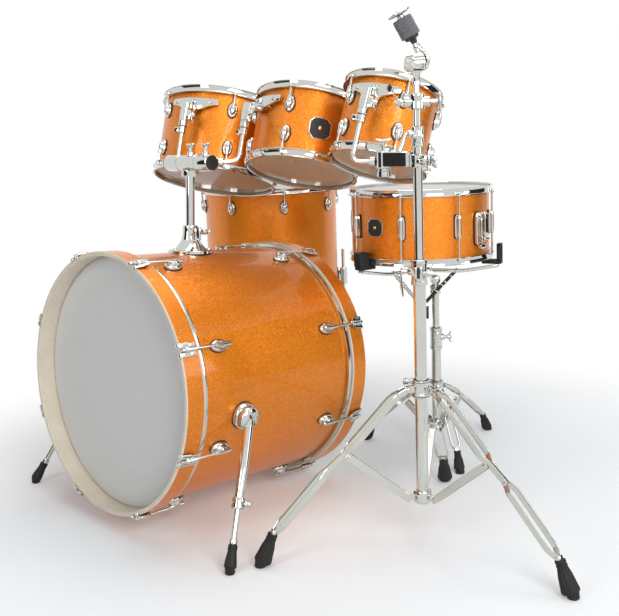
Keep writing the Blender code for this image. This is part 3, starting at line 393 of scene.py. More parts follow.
class Piece:
    """One object under construction, which rides on a body and may replace CAD nodes. Its surfaces are
    grids of points, in rows that close on themselves, each with a material of its own."""

    def __init__(self, name, body, slot, *replaces):
        self.name = name
        self.body = body
        self.slot = slot
        self.replaces = replaces
        self.points = []
        self.faces = []
        self.marks = []
        self.materials = []
        self.total = 0

    def mark(self, material):
        if material not in self.materials:
            self.materials.append(material)
        return self.materials.index(material)

    def add(self, points, faces, material, place=LEVEL):
        """Points and faces, moved to their place. material may be a list with one for each face."""
        matrix = np.array(place)
        points = np.asarray(points, float) @ matrix[:3, :3].T + matrix[:3, 3]
        marks = material if isinstance(material, list) else [material] * len(faces)
        self.marks += [self.mark(each) for each in marks]
        self.points.append(points)
        self.faces += [[i + self.total for i in face] for face in faces]
        self.total += len(points)

    def grid(self, rows, material, place=LEVEL, closed=False):
        """Quads between rows of points, shaped (rows, columns, 3). The columns close on themselves; closed
        rows do too. material may be a list with one for each step between rows."""
        count, columns = rows.shape[:2]
        index = np.arange(count * columns).reshape(count, columns)
        if closed:
            index = np.vstack([index, index[:1]])
        index = np.hstack([index, index[:, :1]])
        faces = np.stack([index[:-1, :-1], index[:-1, 1:], index[1:, 1:], index[1:, :-1]], axis=-1)
        if isinstance(material, list):
            material = [m for m in material for _ in range(columns)]
        self.add(rows.reshape(-1, 3), faces.reshape(-1, 4).tolist(), material, place)

    def turned(self, profile, material, place=LEVEL, steps=STEPS, closed=False, swell=None):
        """A profile of (radius, height) turned about Z: x = r cos a, y = r sin
        a. swell(angles, row) adds to r."""
        a = np.arange(steps) * 2 * math.pi / steps
        profile = np.array(profile, float)
        r = np.repeat(profile[:, :1], steps, axis=1)
        if swell is not None:
            r = r + np.array([swell(a, i) * np.ones(steps) for i in range(len(profile))])
        z = np.repeat(profile[:, 1:], steps, axis=1)
        self.grid(np.stack([r * np.cos(a), r * np.sin(a), z], axis=2), material, place, closed)

    def spindle(self, start, end, profile, material, place=LEVEL, steps=32, swell=None):
        """A solid turned part on the line from start to end. profile
        gives (distance from start, radius)."""
        shape = [(0.0, profile[0][0])] + [(r, d) for d, r in profile] + [(0.0, profile[-1][0])]
        self.turned(shape, material, place @ along(start, end), steps, swell=swell)

    def rod(self, start, end, radius, material, place=LEVEL, steps=24, chamfer=0.0006):
        """A straight round bar with chamfered ends."""
        length = (Vector(end) - Vector(start)).length
        c = min(chamfer, radius * 0.5)
        profile = [(0, radius - c), (c, radius), (length - c, radius), (length, radius - c)]
        self.spindle(start, end, profile, material, place, steps)

    def carried(self, path, section, lateral, material, place=LEVEL, scale=None, shift=None):
        """A section carried along a flat path: each point is path + x * lateral + y * (tangent
        cross lateral). scale and shift, one number for each point of the path, size the
        section and move it along lateral."""
        path = np.array([tuple(p) for p in path], float)
        section = np.array(section, float)
        lateral = np.array(tuple(lateral), float)
        lateral /= np.linalg.norm(lateral)
        tangent = np.gradient(path, axis=0)
        normal = np.cross(tangent, lateral)
        normal /= np.linalg.norm(normal, axis=1)[:, None]
        size = np.ones(len(path)) if scale is None else np.array(scale, float)
        if shift is not None:
            path = path + np.array(shift, float)[:, None] * lateral
        x, y = section[:, 0][None, :, None], section[:, 1][None, :, None]
        rows = path[:, None, :] + size[:, None, None] * (x * lateral[None, None] + y * normal[:, None, :])
        self.grid(capped(rows), material, place)

    def block(self, size, place, material, bevel=0.0008, steps=2):
        """A box with rounded edges: each point is a corner of the inner box plus bevel times a direction.
        The directions run over a sphere by two angles, and those on the borders of an octant come twice."""
        r = min(bevel, min(size) * 0.49)
        half = np.array(size) / 2 - r
        arc = np.linspace(0, math.pi / 2, steps + 1)
        u = np.concatenate([arc + k * math.pi / 2 for k in range(4)])
        signs_x = np.repeat([1, -1, -1, 1], steps + 1)
        signs_y = np.repeat([1, 1, -1, -1], steps + 1)
        v = np.concatenate([arc - math.pi / 2, arc])
        signs_z = np.repeat([-1, 1], steps + 1)
        x = signs_x[None] * half[0] + r * np.cos(v)[:, None] * np.cos(u)[None]
        y = signs_y[None] * half[1] + r * np.cos(v)[:, None] * np.sin(u)[None]
        z = (signs_z * half[2] + r * np.sin(v))[:, None] * np.ones_like(u)[None]
        rows = np.stack([x, y, z], axis=2)
        self.grid(capped(rows), material, place)

    def slab(self, outline, thickness, place, material, bevel=0.0008):
        """A flat outline in XY with a thickness about its plane. Its edge is chamfered by moving each point
        of the outer layers inwards, across the line between its neighbours."""
        flat = np.array(outline, float)
        n = len(flat)
        before, after = np.roll(flat, 1, axis=0), np.roll(flat, -1, axis=0)
        line = after - before
        inward = np.column_stack([-line[:, 1], line[:, 0]])
        inward /= np.linalg.norm(inward, axis=1)[:, None] + 1e-12
        area = np.sum(flat[:, 0] * after[:, 1] - after[:, 0] * flat[:, 1])
        inner = flat + inward * bevel * np.sign(area)
        half = thickness / 2
        layers = [(inner, half), (flat, half - bevel), (flat, bevel - half), (inner, -half)]
        rows = np.array([np.column_stack([xy, np.full(n, z)]) for xy, z in layers])
        self.grid(rows, material, place)
        ends = [list(range(n)), list(range(4 * n - 1, 3 * n - 1, -1))]
        self.add(rows.reshape(-1, 3), ends, material, place)

    def finish(self):
        """Joins the surfaces into one mesh, closes its seams and poles, and turns its faces outwards."""
        mesh = bpy.data.meshes.new(self.name)
        mesh.from_pydata(np.concatenate(self.points).tolist(), [], self.faces)
        mesh.polygons.foreach_set("material_index", np.array(self.marks, np.int32))
        shape = bmesh.new()
        shape.from_mesh(mesh)
        bmesh.ops.remove_doubles(shape, verts=shape.verts, dist=1e-6)
        bmesh.ops.dissolve_degenerate(shape, edges=shape.edges, dist=1e-7)
        bmesh.ops.recalc_face_normals(shape, faces=shape.faces)
        shape.to_mesh(mesh)
        shape.free()
        for material in self.materials:
            mesh.materials.append(material)
        mesh.shade_smooth()
        mesh.set_sharp_from_angle(angle=SHARP_FROM)
        obj = bpy.data.objects.new(self.name, mesh)
        bpy.context.scene.collection.objects.link(obj)
        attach(obj, self.body)
        if self.replaces:
            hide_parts(*self.replaces)


# A casting's section from rim to crown, as shares of its half width and of its height
STEPPED_DOME = (
    (1.0, 0.0), (1.0, 0.12), (0.97, 0.26), (0.90, 0.36), (0.80, 0.42), (0.74, 0.42), (0.71, 0.40),
    (0.69, 0.46), (0.66, 0.62), (0.58, 0.80), (0.44, 0.92), (0.24, 0.985), (0, 1.0),
)


def add_gasket(piece, spot, width, height, power=2.0, thickness=0.0018):
    """A thin black gasket between a drum's wall and the casting on it."""
    piece.slab(oval(width, height, 44, power), thickness, spot @ at(0.0006, 0, 0) @ OUTWARD, BLACK_GASKET_AND_SLOT_SHADE, 0.0003)


def oval_lug(piece, place, width, length, height):
    """A domed casting on its gasket, on the wall at place."""
    add_gasket(piece, place, width + 0.0030, length + 0.0030)
    dome = place @ OUTWARD @ at(0, 0, 0.0012) @ stretch(width / 2, length / 2, height - 0.0012)
    piece.turned(STEPPED_DOME, CHROME, dome, 44)


def tension_rod(piece, place, low, high):
    """A key rod: its shank from low, a washer, and a square head up to high."""
    piece.rod((0, 0, low), (0, 0, high - 0.006), ROD_RADIUS, CHROME, place, 14)
    washer = [(0, 0.0058), (0.0011, 0.0058), (0.0014, 0.0044), (0.0030, 0.0044)]
    piece.spindle((0, 0, high - 0.0095), (0, 0, high), washer, CHROME, place, 20)
    piece.block((0.0062, 0.0062, 0.0070), place @ at(0, 0, high - 0.0035), CHROME, 0.0007)


def wing_nut(piece, place, span, lift=1.0):
    """A wing nut: its boss along Z from the origin, two ears along X that rise as they go out."""
    boss = [(0, 0.0062), (0.001, 0.0070), (0.008, 0.0058), (0.011, 0.0044)]
    piece.spindle((0, 0, 0), (0, 0, 0.011), boss, CHROME, place, 24)
    half = span / 2
    path = rounded([(0.002, 0, 0.004), (half * 0.55, 0, 0.0055), (half, 0, 0.0055 + 0.008 * lift)],
                   0.006, 5)
    width = graded(path, [0, 0.35, 0.7, 0.92, 1], [0.70, 0.80, 1.10, 0.95, 0.55])
    for side in (1, -1):
        piece.carried(path * (side, 1, 1), oval(0.0105, 0.0042, 20), (0, 1, 0), CHROME, place, width)


def screw_head(piece, place, radius, material=CHROME):
    """A round screw head along Z with a round socket sunk in it."""
    r = radius
    profile = [(r, 0), (r, r * 0.6), (r * 0.86, r * 0.85), (r * 0.5, r * 0.9), (r * 0.46, r * 0.4),
               (0, r * 0.4)]
    piece.turned([(0, 0)] + profile, material, place, 24)


def t_bolt(piece, place, reach, span, thickness=0.0055):
    """A bolt along Z with a bar across its end, tapered towards round tips."""
    piece.rod((0, 0, 0), (0, 0, reach), 0.0042, CHROME, place, 18)
    piece.spindle((0, 0, reach - 0.007), (0, 0, reach + 0.004),
                  [(0, 0.0058), (0.002, 0.0068), (0.009, 0.0068), (0.011, 0.0052)], CHROME, place, 24)
    t = np.linspace(-1, 1, 15)
    path = np.column_stack([t * span / 2, 0 * t, reach + 0.004 * np.abs(t)])
    width = 0.35 + 0.65 * np.sqrt(np.clip(1 - np.abs(t) ** 6, 0, 1))
    piece.carried(path, oval(0.0115, thickness, 20), (0, 1, 0), CHROME, place, width)


def rubber_foot(piece, top, bottom, place, radius, flare):
    """A fluted rubber foot from top to bottom: two ring collars above, then
    an even cone with grooves down it."""
    length = (Vector(bottom) - Vector(top)).length
    profile = [(0, radius * 0.90), (0.0012, radius), (0.0060, radius), (0.0068, radius * 0.92),
               (0.0084, radius * 0.92), (0.0092, radius * 1.03), (0.0130, radius * 1.03),
               (0.0142, radius * 0.98), (length * 0.45, radius + (flare - radius) * 0.45),
               (length * 0.75, radius + (flare - radius) * 0.80), (length * 0.90, flare),
               (length - 0.004, flare * 0.98), (length - 0.001, flare * 0.88), (length, flare * 0.70)]

    def flutes(a, row):
        deep = 0.0013 if 8 <= row <= 11 else 0.0
        return -deep * np.clip(np.cos(a * FOOT_GROOVES), 0, 1) ** 2

    piece.spindle(top, bottom, profile, RUBBER, place, 108, flutes)


def shell_piece(drum):
    """The wall with bevelled bearing edges: lacquer outside, bare wood at the edges and inside."""
    r, e = drum.radius, drum.edge
    piece = Piece(drum.name + "_shell_finish", drum.body, "orange_sparkle", drum.name + "_shell")
    profile = [(r, -e + 0.002), (r, e - 0.002), (r - 0.0018, e), (r - 0.0040, e - 0.0015),
               (r - WALL, e - 0.004), (r - WALL, -e + 0.004), (r - 0.0040, -e + 0.0015), (r - 0.0018, -e)]
    piece.turned(profile, [SPARKLE] + [MAPLE] * 7, drum.place, closed=True)
    return piece


def flanged_hoop(piece, drum, side):
    """A triple-flanged hoop of sheet steel, with a rolled lip and, at each
    rod, an ear on its lower flange."""
    r, e = drum.radius, drum.edge
    profile = [
        (r + 0.0045, e + 0.0072), (r + 0.0058, e + 0.0088), (r + 0.0085, e + 0.0092),
        (r + 0.0098, e + 0.0084), (r + 0.0095, e + 0.0074), (r + 0.0070, e + 0.0072),
        (r + 0.0062, e + 0.0056), (r + 0.0062, e - 0.0050), (r + 0.0075, e - 0.0070),
        (r + 0.0108, e - 0.0074), (r + 0.0108, e - 0.0091), (r + 0.0068, e - 0.0091),
        (r + 0.0045, e - 0.0066),
    ]
    flange_rows = (9, 10)
    ears = np.radians(np.array(drum.angles)) * side
    half_width = 0.0105 / r

    def swell(a, row):
        gap = np.abs((a[:, None] - ears[None, :] + math.pi) % (2 * math.pi) - math.pi).min(axis=1)
        return 0.0050 * np.clip(1.35 - gap / half_width, 0, 1) * (row in flange_rows)

    place = drum.place if side > 0 else drum.place @ turn(180, "X")
    piece.turned(profile, CHROME, place, 240, True, swell)


def flesh_hoop(piece, radius, edge, place):
    """The aluminium ring that a film is crimped into."""
    profile = [(radius + 0.0014, edge - 0.0034), (radius + 0.0042, edge - 0.0034),
               (radius + 0.0042, edge - 0.0082), (radius + 0.0014, edge - 0.0082)]
    piece.turned(profile, STRIP, place, closed=True)


def batter_head(drum):
    """A coated film that runs level, bends over the bearing edge and ends in its ring."""
    r, e = drum.radius, drum.edge
    piece = Piece(drum.name + "_batter_film", drum.body, "drum_head", drum.name + "_batter_head")
    profile = [(0, e + 0.0013), (r - 0.008, e + 0.0013), (r - 0.001, e + 0.0009), (r + 0.0016, e - 0.0006),
               (r + 0.0024, e - 0.0040), (r + 0.0014, e - 0.0040), (r + 0.0005, e - 0.0004),
               (r - 0.004, e + 0.0005), (0, e + 0.0005)]
    piece.turned(profile, COATED, drum.place)
    flesh_hoop(piece, r, e, drum.place)
    piece.finish()


def bottom_head(piece, drum):
    """A clear film with its ring, on the far side of a drum."""
    r, e = drum.radius, drum.edge
    flipped = drum.place @ turn(180, "X")
    profile = [(0, e + 0.0010), (r - 0.006, e + 0.0010), (r + 0.0014, e - 0.0004), (r + 0.0024, e - 0.0040),
               (r + 0.0014, e - 0.0040), (r + 0.0006, e - 0.0002), (r - 0.006, e + 0.0006), (0, e + 0.0006)]
    piece.turned(profile, CLEAR, flipped)
    flesh_hoop(piece, r, e, flipped)


def rods(piece, drum, side, lug_end):
    flip = LEVEL if side > 0 else turn(180, "X")
    for degrees in drum.angles:
        spot = drum.place @ flip @ around(degrees * side, drum.radius + ROD_AT, 0)
        tension_rod(piece, spot, lug_end, drum.edge + 0.0008)


def oval_lugs(piece, drum):
    """Two domed castings for each pair of rods, with a stepped crown and a nut at the rod's end."""
    for degrees in drum.angles:
        for side in (1, -1):
            spot = drum.place @ around(degrees, drum.radius, side * (drum.edge - LUG_DROP))
            oval_lug(piece, spot, 0.0240, 0.0390, 0.0154)
            piece.rod((ROD_AT, 0, side * 0.006), (ROD_AT, 0, side * 0.0185), 0.0050, CHROME, spot,
                      20, 0.0012)


def tube_lugs(piece, drum):
    """One casting for each pair of rods: a rounded foot plate with a waisted tube along it."""
    tube = [(0, 0.0034), (0.0015, 0.0046), (0.010, 0.0050), (0.029, 0.0056), (0.048, 0.0050),
            (0.0565, 0.0046), (0.058, 0.0034)]
    for degrees in drum.angles:
        spot = drum.place @ around(degrees, drum.radius, 0)
        add_gasket(piece, spot, 0.0200, 0.062, 5.0, 0.0016)
        piece.slab(oval(0.0175, 0.0590, 44, 4.0), 0.0060, spot @ at(0.0042, 0, 0) @ OUTWARD, CHROME, 0.0022)
        piece.spindle((ROD_AT, 0, -0.029), (ROD_AT, 0, 0.029), tube, CHROME, spot, 28)


def hung_drum(drum, lugs):
    """Shell with lugs, heads, hoops and rods of one drum. Returns its shell and its batter hoop."""
    shell = shell_piece(drum)
    lugs(shell, drum)
    batter_head(drum)
    top = Piece(drum.name + "_batter_rim", drum.body, "chrome", drum.name + "_batter_hoop")
    flanged_hoop(top, drum, 1)
    low = Piece(drum.name + "_bottom_rim", drum.body, "chrome", drum.name + "_bottom_hoop")
    flanged_hoop(low, drum, -1)
    bottom_head(low, drum)
    reach = 0.026 if drum is SNARE else drum.edge - LUG_DROP + 0.004
    rods(top, drum, 1, reach)
    rods(low, drum, -1, reach)
    low.finish()
    return shell, top


def plain_badge(piece, drum, degrees, height, width, length):
    """A bare black plate with clipped corners in a plated rim, and the eyelet of the air vent."""
    clip = width * 0.22
    outline = [(width / 2 - clip, length / 2), (clip - width / 2, length / 2),
               (-width / 2, length / 2 - clip), (-width / 2, clip - length / 2),
               (clip - width / 2, -length / 2), (width / 2 - clip, -length / 2),
               (width / 2, clip - length / 2), (width / 2, length / 2 - clip)]
    spot = drum.place @ around(degrees, drum.radius, height)
    piece.slab(outline, 0.0026, spot @ at(0.0006, 0, 0) @ OUTWARD, STRIP, 0.0004)
    piece.slab(np.array(outline) * (0.90, 0.92), 0.0014, spot @ at(0.0018, 0, 0) @ OUTWARD, PLASTIC, 0.0003)
    eyelet = [(0, 0.0042), (0.0022, 0.0042), (0.0030, 0.0030), (0.0034, 0.0012)]
    piece.spindle((0.001, 0, 0), (0.005, 0, 0), eyelet, BRASS, spot, 24)


def suspension_mount(piece, drum):
    """The curved plate that a tom hangs from: arcs whose lower edge dips by cos^2, with lips turned in. On
    it sit a bolt, the housing, and the eye with its wing bolt that grips the L-rod."""
    degrees, r, e = MOUNTS[drum.name], drum.radius, drum.edge
    half = min(math.degrees(0.060 / r), 28.5)
    share = np.linspace(-1, 1, 49)
    a = np.radians(degrees + half * share)
    drop = 0.0150 + 0.0190 * np.cos(math.pi * share / 2) ** 2
    out = r + 0.0130 + 0.0035 * np.cos(math.pi * share / 2)
    top = e - 0.0275
    section = [(-0.0070, 0.0, 0.0), (-0.0008, 0.0, 0.0), (0.0, -0.0008, 0.0), (0.0006, -0.0020, 0.5),
               (0.0, 0.0008, 1.0), (-0.0008, 0.0, 1.0), (-0.0070, 0.0, 1.0), (-0.0070, 0.0012, 1.0),
               (-0.0022, 0.0014, 1.0), (-0.0022, -0.0014, 0.0), (-0.0070, -0.0012, 0.0)]
    radii = np.array([out + x for x, _, _ in section]).T
    heights = np.array([top + z - down * drop for _, z, down in section]).T
    rows = np.stack([radii * np.cos(a)[:, None], radii * np.sin(a)[:, None], heights], axis=2)
    piece.grid(capped(rows), CHROME, drum.place)
    for side in (-1, 1):
        end = drum.place @ around(degrees + side * (half - 1.2), r + 0.0085, e - 0.0350)
        piece.block((0.0100, 0.0045, 0.0140), end, CHROME, 0.0012)
        head = drum.place @ around(degrees + side * half * 0.72, r + 0.0146, e - 0.0385)
        screw_head(piece, head @ turn(90, "Y"), 0.0040)
    spot = drum.place @ around(degrees, r, 0)
    piece.block((0.0100, 0.050, 0.018), spot @ at(0.0040, 0, e - 0.0440), CHROME, 0.0015)
    screw_head(piece, spot @ at(0.0165, 0.006, e - 0.0390) @ turn(90, "Y"), 0.0066)
    piece.block((0.0240, 0.0240, 0.0180), spot @ at(0.0260, 0, e - 0.0560), CHROME, 0.0034, 4)
    eye = [(0, 0.0094), (0.0015, 0.0112), (0.0120, 0.0116), (0.0135, 0.0102), (0.0155, 0.0102),
           (0.0170, 0.0116), (0.0590, 0.0116), (0.0610, 0.0094)]
    piece.spindle((ARM_OFFSET, 0, e - 0.113), (ARM_OFFSET, 0, e - 0.052), eye, CHROME, spot, 40)
    piece.block((0.0150, 0.0150, 0.0240), spot @ at(ARM_OFFSET - 0.001, 0.0120, e - 0.085), CHROME,
                0.0026, 3)
    wing_nut(piece, spot @ at(ARM_OFFSET, 0.0180, e - 0.085) @ turn(-90, "X") @ turn(78), 0.040, lift=0.8)


def floor_leg_bracket(piece, degrees):
    """A cast bracket on the floor tom's wall: plate and gasket, an eye round the leg, and a wing bolt."""
    spot = FLOOR.place @ around(degrees, FLOOR.radius, -0.085)
    add_gasket(piece, spot, 0.040, 0.056, 3.0)
    piece.slab(oval(0.037, 0.053, 44, 3.0), 0.0080, spot @ at(0.0044, 0, 0) @ OUTWARD, CHROME, 0.0026)
    eye = [(0, 0.0100), (0.0020, 0.0118), (0.0500, 0.0118), (0.0520, 0.0100)]
    piece.spindle((0.020, 0, -0.026), (0.020, 0, 0.026), eye, CHROME, spot, 32)
    piece.block((0.014, 0.018, 0.022), spot @ at(0.022, 0.009, 0), CHROME, 0.0025, 3)
    wing_nut(piece, spot @ at(0.022, 0.017, 0) @ turn(-90, "X"), 0.030)


def snare_hardware(piece):
    """The strainer's body on one side of the snare drum, with its knob and
    screws, and the butt plate opposite."""
    r = SNARE.radius
    spot = SNARE.place @ around(0, r, -0.010)
    add_gasket(piece, spot, 0.034, 0.086, 5.0)
    piece.slab(oval(0.031, 0.083, 44, 5.0), 0.0090, spot @ at(0.0052, 0, 0) @ OUTWARD, CHROME, 0.0020)
    piece.block((0.0110, 0.020, 0.050), spot @ at(0.0145, 0, 0.004), CHROME, 0.0024, 3)
    for height in (-0.034, 0.034):
        screw_head(piece, spot @ at(0.0090, 0, height) @ turn(90, "Y"), 0.0050)
    for side in (-1, 1):
        piece.block((0.0120, 0.0040, 0.016), spot @ at(0.0190, side * 0.0128, -0.025), CHROME, 0.0012)
    piece.spindle((0.0145, 0, 0.028), (0.0145, 0, 0.042), [(0, 0.0050), (0.0015, 0.0072), (0.012, 0.0072),
                  (0.014, 0.0055)], CHROME, spot, 36, knurled(0.0005, 18, *range(6)))
    piece.block((0.0100, 0.022, 0.010), spot @ at(0.0130, 0, -0.045), CHROME, 0.0012)
    butt = SNARE.place @ around(180, r, -0.050)
    add_gasket(piece, butt, 0.038, 0.028, 5.0)
    piece.slab(oval(0.035, 0.025, 44, 5.0), 0.0090, butt @ at(0.0052, 0, 0) @ OUTWARD, CHROME, 0.0020)
    piece.block((0.0090, 0.026, 0.012), butt @ at(0.0135, 0, -0.002), CHROME, 0.0014)
    for side in (-1, 1):
        screw_head(piece, butt @ at(0.0175, side * 0.008, -0.002) @ turn(90, "Y"), 0.0036)


hung = {drum: hung_drum(drum, tube_lugs if drum is SNARE else oval_lugs)
        for drum in (LARGE, MIDDLE, SMALL, FLOOR, SNARE)}
for tom in (LARGE, MIDDLE, SMALL):
    suspension_mount(hung[tom][0], tom)
plain_badge(hung[MIDDLE][0], MIDDLE, 314.0, -0.014, 0.053, 0.052)
plain_badge(hung[SNARE][0], SNARE, 268.5, 0.0, 0.049, 0.046)
for leg_angle in FLOOR_LEG_ANGLES:
    floor_leg_bracket(hung[FLOOR][0], leg_angle)
snare_hardware(hung[SNARE][0])
for built in [shell for shell, _ in hung.values()] + [rim for _, rim in hung.values()]:
    built.finish()


def claw(piece, place):
    """A two-fingered claw hooked over the hoop's outer edge, with its tube and rod. X points outwards."""
    for side in (-1, 1):
        spine = rounded([(0.0076, 0, -0.0330), (0.0052, 0, -0.0200), (0.0030, 0, -0.0060),
                         (0.0026, 0, 0.0014), (-0.0018, 0, 0.0030), (-0.0056, 0, 0.0024)], 0.0030, 4)
        width = graded(spine, [0, 0.12, 0.45, 0.85, 1.0], [0.62, 0.92, 1.0, 0.92, 0.80])
        flare = side * (0.0090 + 0.0016 * graded(spine, [0, 0.5, 1.0], [0.0, 0.4, 1.0]))
        piece.carried(spine, oval(0.0112, 0.0040, 24, 2.6), (0, 1, 0), CHROME, place, width, flare)
    piece.block((0.0040, 0.0240, 0.014), place @ at(0.0050, 0, -0.025), CHROME, 0.0014)
    tube = [(0, 0.0052), (0.0012, 0.0064), (0.022, 0.0064), (0.0235, 0.0052), (0.028, 0.0050),
            (0.0285, 0.0042)]
    piece.spindle((0.0062, 0, -0.036), (0.0062, 0, 0.0015), tube, CHROME, place, 28)
    piece.block((0.0062, 0.0062, 0.0085), place @ at(0.0062, 0, -0.0040), CHROME, 0.0007)
    piece.rod((0.0056, 0, -(BASS_HALF - BASS_LUG_AT - 0.020)), (0.0056, 0, -0.030), 0.0030, CHROME,
              place, 16)


def bass_lug(piece, place):
    """A long domed casting with the rod's nut along its crown."""
    oval_lug(piece, place, 0.0265, 0.0455, 0.0205)
    nut = [(0, 0.0040), (0.002, 0.0056), (0.040, 0.0056), (0.042, 0.0040)]
    piece.spindle((0.0165, 0, -0.021), (0.0165, 0, 0.021), nut, CHROME, place, 24)


def spur_boss(piece, place):
    """A round cup on a black ring, which the spur's pivot disc turns in."""
    piece.spindle((-0.0030, 0, 0), (0.0030, 0, 0), [(0, 0.0310), (0.0060, 0.0310)], BLACK_GASKET_AND_SLOT_SHADE, place, 64)
    cup = [(0, 0.0285), (0.0005, 0.0300), (0.0100, 0.0290), (0.0120, 0.0272), (0.0121, 0.0240)]
    piece.spindle((0.0025, 0, 0), (0.0146, 0, 0), cup, CHROME, place, 64)


def mount_base(piece):
    """The tom post's receiver: a gasket, a round plate, a concave cone with a split clamp and a T-bolt."""
    plate = [(0, 0.0505), (0.0020, 0.0515), (0.0062, 0.0515), (0.0082, 0.0490), (0.0090, 0.0440),
             (0.0086, 0.0400)]
    piece.spindle((0, 0, 0.2755), (0, 0, 0.2780), [(0, 0.0520), (0.0025, 0.0520)], BLACK_GASKET_AND_SLOT_SHADE, POST, 96)
    low, high = 0.2850, 0.3420
    t = np.linspace(0, 1, 17)
    cone = 0.0175 + 0.0225 * (1 - t) ** 3
    skin = [(0.2775, 0.0515)] + [(0.2775 + d, r) for d, r in plate[2:5]]
    skin += list(zip(low + (high - 0.004 - low) * t, cone)) + [(high - 0.0015, 0.0172), (high, 0.0155)]
    outer = [(r, z) for z, r in skin]
    inner = [(POST_RADIUS + 0.0009, high), (POST_RADIUS + 0.0009, 0.2775)]
    piece.turned(outer + inner, CHROME, POST, 96, True)
    for degrees in (35, 145, 270):
        screw_head(piece, POST @ around(degrees, 0.0450, 0.2860), 0.0042)
    # A black block fills the clamp's slit: painted shade in the gap
    piece.block((0.0040, 0.0080, 0.040), POST @ turn(0) @ at(0.0176, 0, 0.3200), BLACK_GASKET_AND_SLOT_SHADE, 0.0006)
    for side in (-1, 1):
        piece.block((0.0160, 0.0070, 0.0300), POST @ at(0.0220, side * 0.0062, 0.3230), CHROME, 0.0024, 3)
    bolt = POST @ at(0.0230, 0.0090, 0.3270) @ turn(-90, "X")
    t_bolt(piece, bolt, 0.0160, 0.034)
    piece.spindle((0, 0, 0), (0, 0, 0.0075), [(0, 0.0070), (0.0060, 0.0070), (0.0075, 0.0055)], CHROME,
                  POST @ at(0.0230, -0.0090, 0.3270) @ turn(90, "X"), 6)


def bass_drum():
    """The shell with its hardware, and on each side a film in its ring and a wooden hoop with claws."""
    r, e, half = BASS_RADIUS, BASS_EDGE, BASS_HALF
    shell = Piece("bass_shell_finish", "kit", "orange_sparkle", "bass_shell")
    profile = [(r, -e + 0.002), (r, e - 0.002), (r - 0.002, e), (r - 0.004, e - 0.001),
               (r - BASS_WALL, e - 0.004), (r - BASS_WALL, -e + 0.004), (r - 0.004, -e + 0.001),
               (r - 0.002, -e)]
    shell.turned(profile, [SPARKLE] + [MAPLE] * 7, BASS, 192, True)
    for degrees in BASS_ANGLES:
        for side in (1, -1):
            bass_lug(shell, BASS @ around(degrees, r, side * BASS_LUG_AT))
    for degrees in (SPUR_ANGLE, 180 - SPUR_ANGLE):
        spur_boss(shell, BASS @ around(degrees, r - 0.0020, SPUR_FORWARD))
    mount_base(shell)
    shell.finish()

    for name, side in (("front", 1), ("batter", -1)):
        spot = BASS @ (LEVEL if side > 0 else turn(180, "X"))
        film = Piece("bass_%s_film" % name, "kit", "drum_head", "bass_%s_head" % name)
        skin = [(0, e + 0.0013), (r - 0.016, e + 0.0013), (r - 0.006, e + 0.0009), (r + 0.0004, e - 0.0012),
                (r + 0.0016, e - 0.0045), (r + 0.0008, e - 0.0045), (r - 0.001, e - 0.0016),
                (r - 0.008, e + 0.0003), (0, e + 0.0005)]
        film.turned(skin, COATED, spot, 192)
        ring = [(r + 0.0008, e - 0.0042), (r + 0.0078, e - 0.0042), (r + 0.0086, e - 0.0060),
                (r + 0.0078, e - 0.0158), (r + 0.0008, e - 0.0158)]
        film.turned(ring, STRIP, spot, 192, True)
        film.finish()

        hoop = Piece("bass_%s_hoop_finish" % name, "kit", "hoop_wood", "bass_%s_hoop" % name)
        low = half - BASS_HOOP_WIDTH
        inner = r + 0.0026
        wood = [(inner, half - 0.0015), (inner + 0.0018, half), (BASS_HOOP - 0.0022, half),
                (BASS_HOOP, half - 0.0022), (BASS_HOOP, low + 0.0018), (BASS_HOOP - 0.0018, low),
                (inner, low)]
        hoop.turned(wood, [CREAM, CREAM, CREAM, SPARKLE, CREAM, CREAM, CREAM], spot, 192, True)
        for degrees in BASS_ANGLES:
            claw(hoop, spot @ around(degrees * side, BASS_HOOP, half))
        hoop.finish()


bass_drum()


def tom_post():
    """The chromed post with its chamfered top."""
    piece = Piece("tom_post_chrome", "tom_post", "chrome", "tom_post")
    piece.rod((0, 0, 0.200), (0, 0, POST_TOP), POST_RADIUS, CHROME, POST, 48, 0.0014)
    piece.finish()


def tom_holder():
    """The cross barrel on the post, its two clamping bosses towards the L-rods, and their T-bolts."""
    piece = Piece("tom_holder_chrome", "tom_holder", "chrome", "tom_holder")
    place = POST @ at(0, 0, HOLDER_HEIGHT)
    barrel = [(0, 0.0165), (0.0015, 0.0188), (0.004, 0.0195), (0.044, 0.0195), (0.0455, 0.0178),
              (0.0475, 0.0178), (0.049, 0.0195), (0.107, 0.0195), (0.1085, 0.0178), (0.1105, 0.0178),
              (0.112, 0.0195), (0.152, 0.0195), (0.1545, 0.0188), (0.156, 0.0165)]
    piece.spindle((-0.078, 0, 0), (0.078, 0, 0), barrel, CHROME, place, 64)
    for side in (-1, 1):
        cap = [(0, 0.0150), (0.0012, 0.0172), (0.0050, 0.0172), (0.0058, 0.0130), (0.0059, 0.0)]
        piece.spindle((side * 0.0755, 0, 0), (side * 0.0814, 0, 0), cap, PLASTIC, place, 48)
    for x in (0.010, 0.064):
        piece.spindle((x, -0.006, 0.015), (x, -0.006, 0.024),
                      [(0, 0.0085), (0.007, 0.0085), (0.009, 0.0070)], CHROME, place, 28)
        t_bolt(piece, place @ at(x, -0.006, 0.012), 0.0275, 0.0265, 0.0060)
    neck = [(0, 0.0190), (0.003, 0.0200), (0.014, 0.0200), (0.016, 0.0180)]
    piece.spindle((0, 0, -0.032), (0, 0, -0.016), neck, CHROME, place, 48)
    to_local = place.inverted()
    centre = place.translation
    for side, bend in ((-1, KIT @ LARGE_BEND), (1, KIT @ MIDDLE_BEND)):
        start = centre + Vector((side * 0.050, 0, 0))
        end = start + (bend - start).normalized() * 0.032
        boss = [(0.006, 0.0142), (0.019, 0.0142), (0.0205, 0.0128), (0.0225, 0.0128), (0.024, 0.0135),
                (0.0305, 0.0135), (0.032, 0.0118)]
        piece.spindle(to_local @ start, to_local @ end, boss, CHROME, place, 40)
    piece.finish()


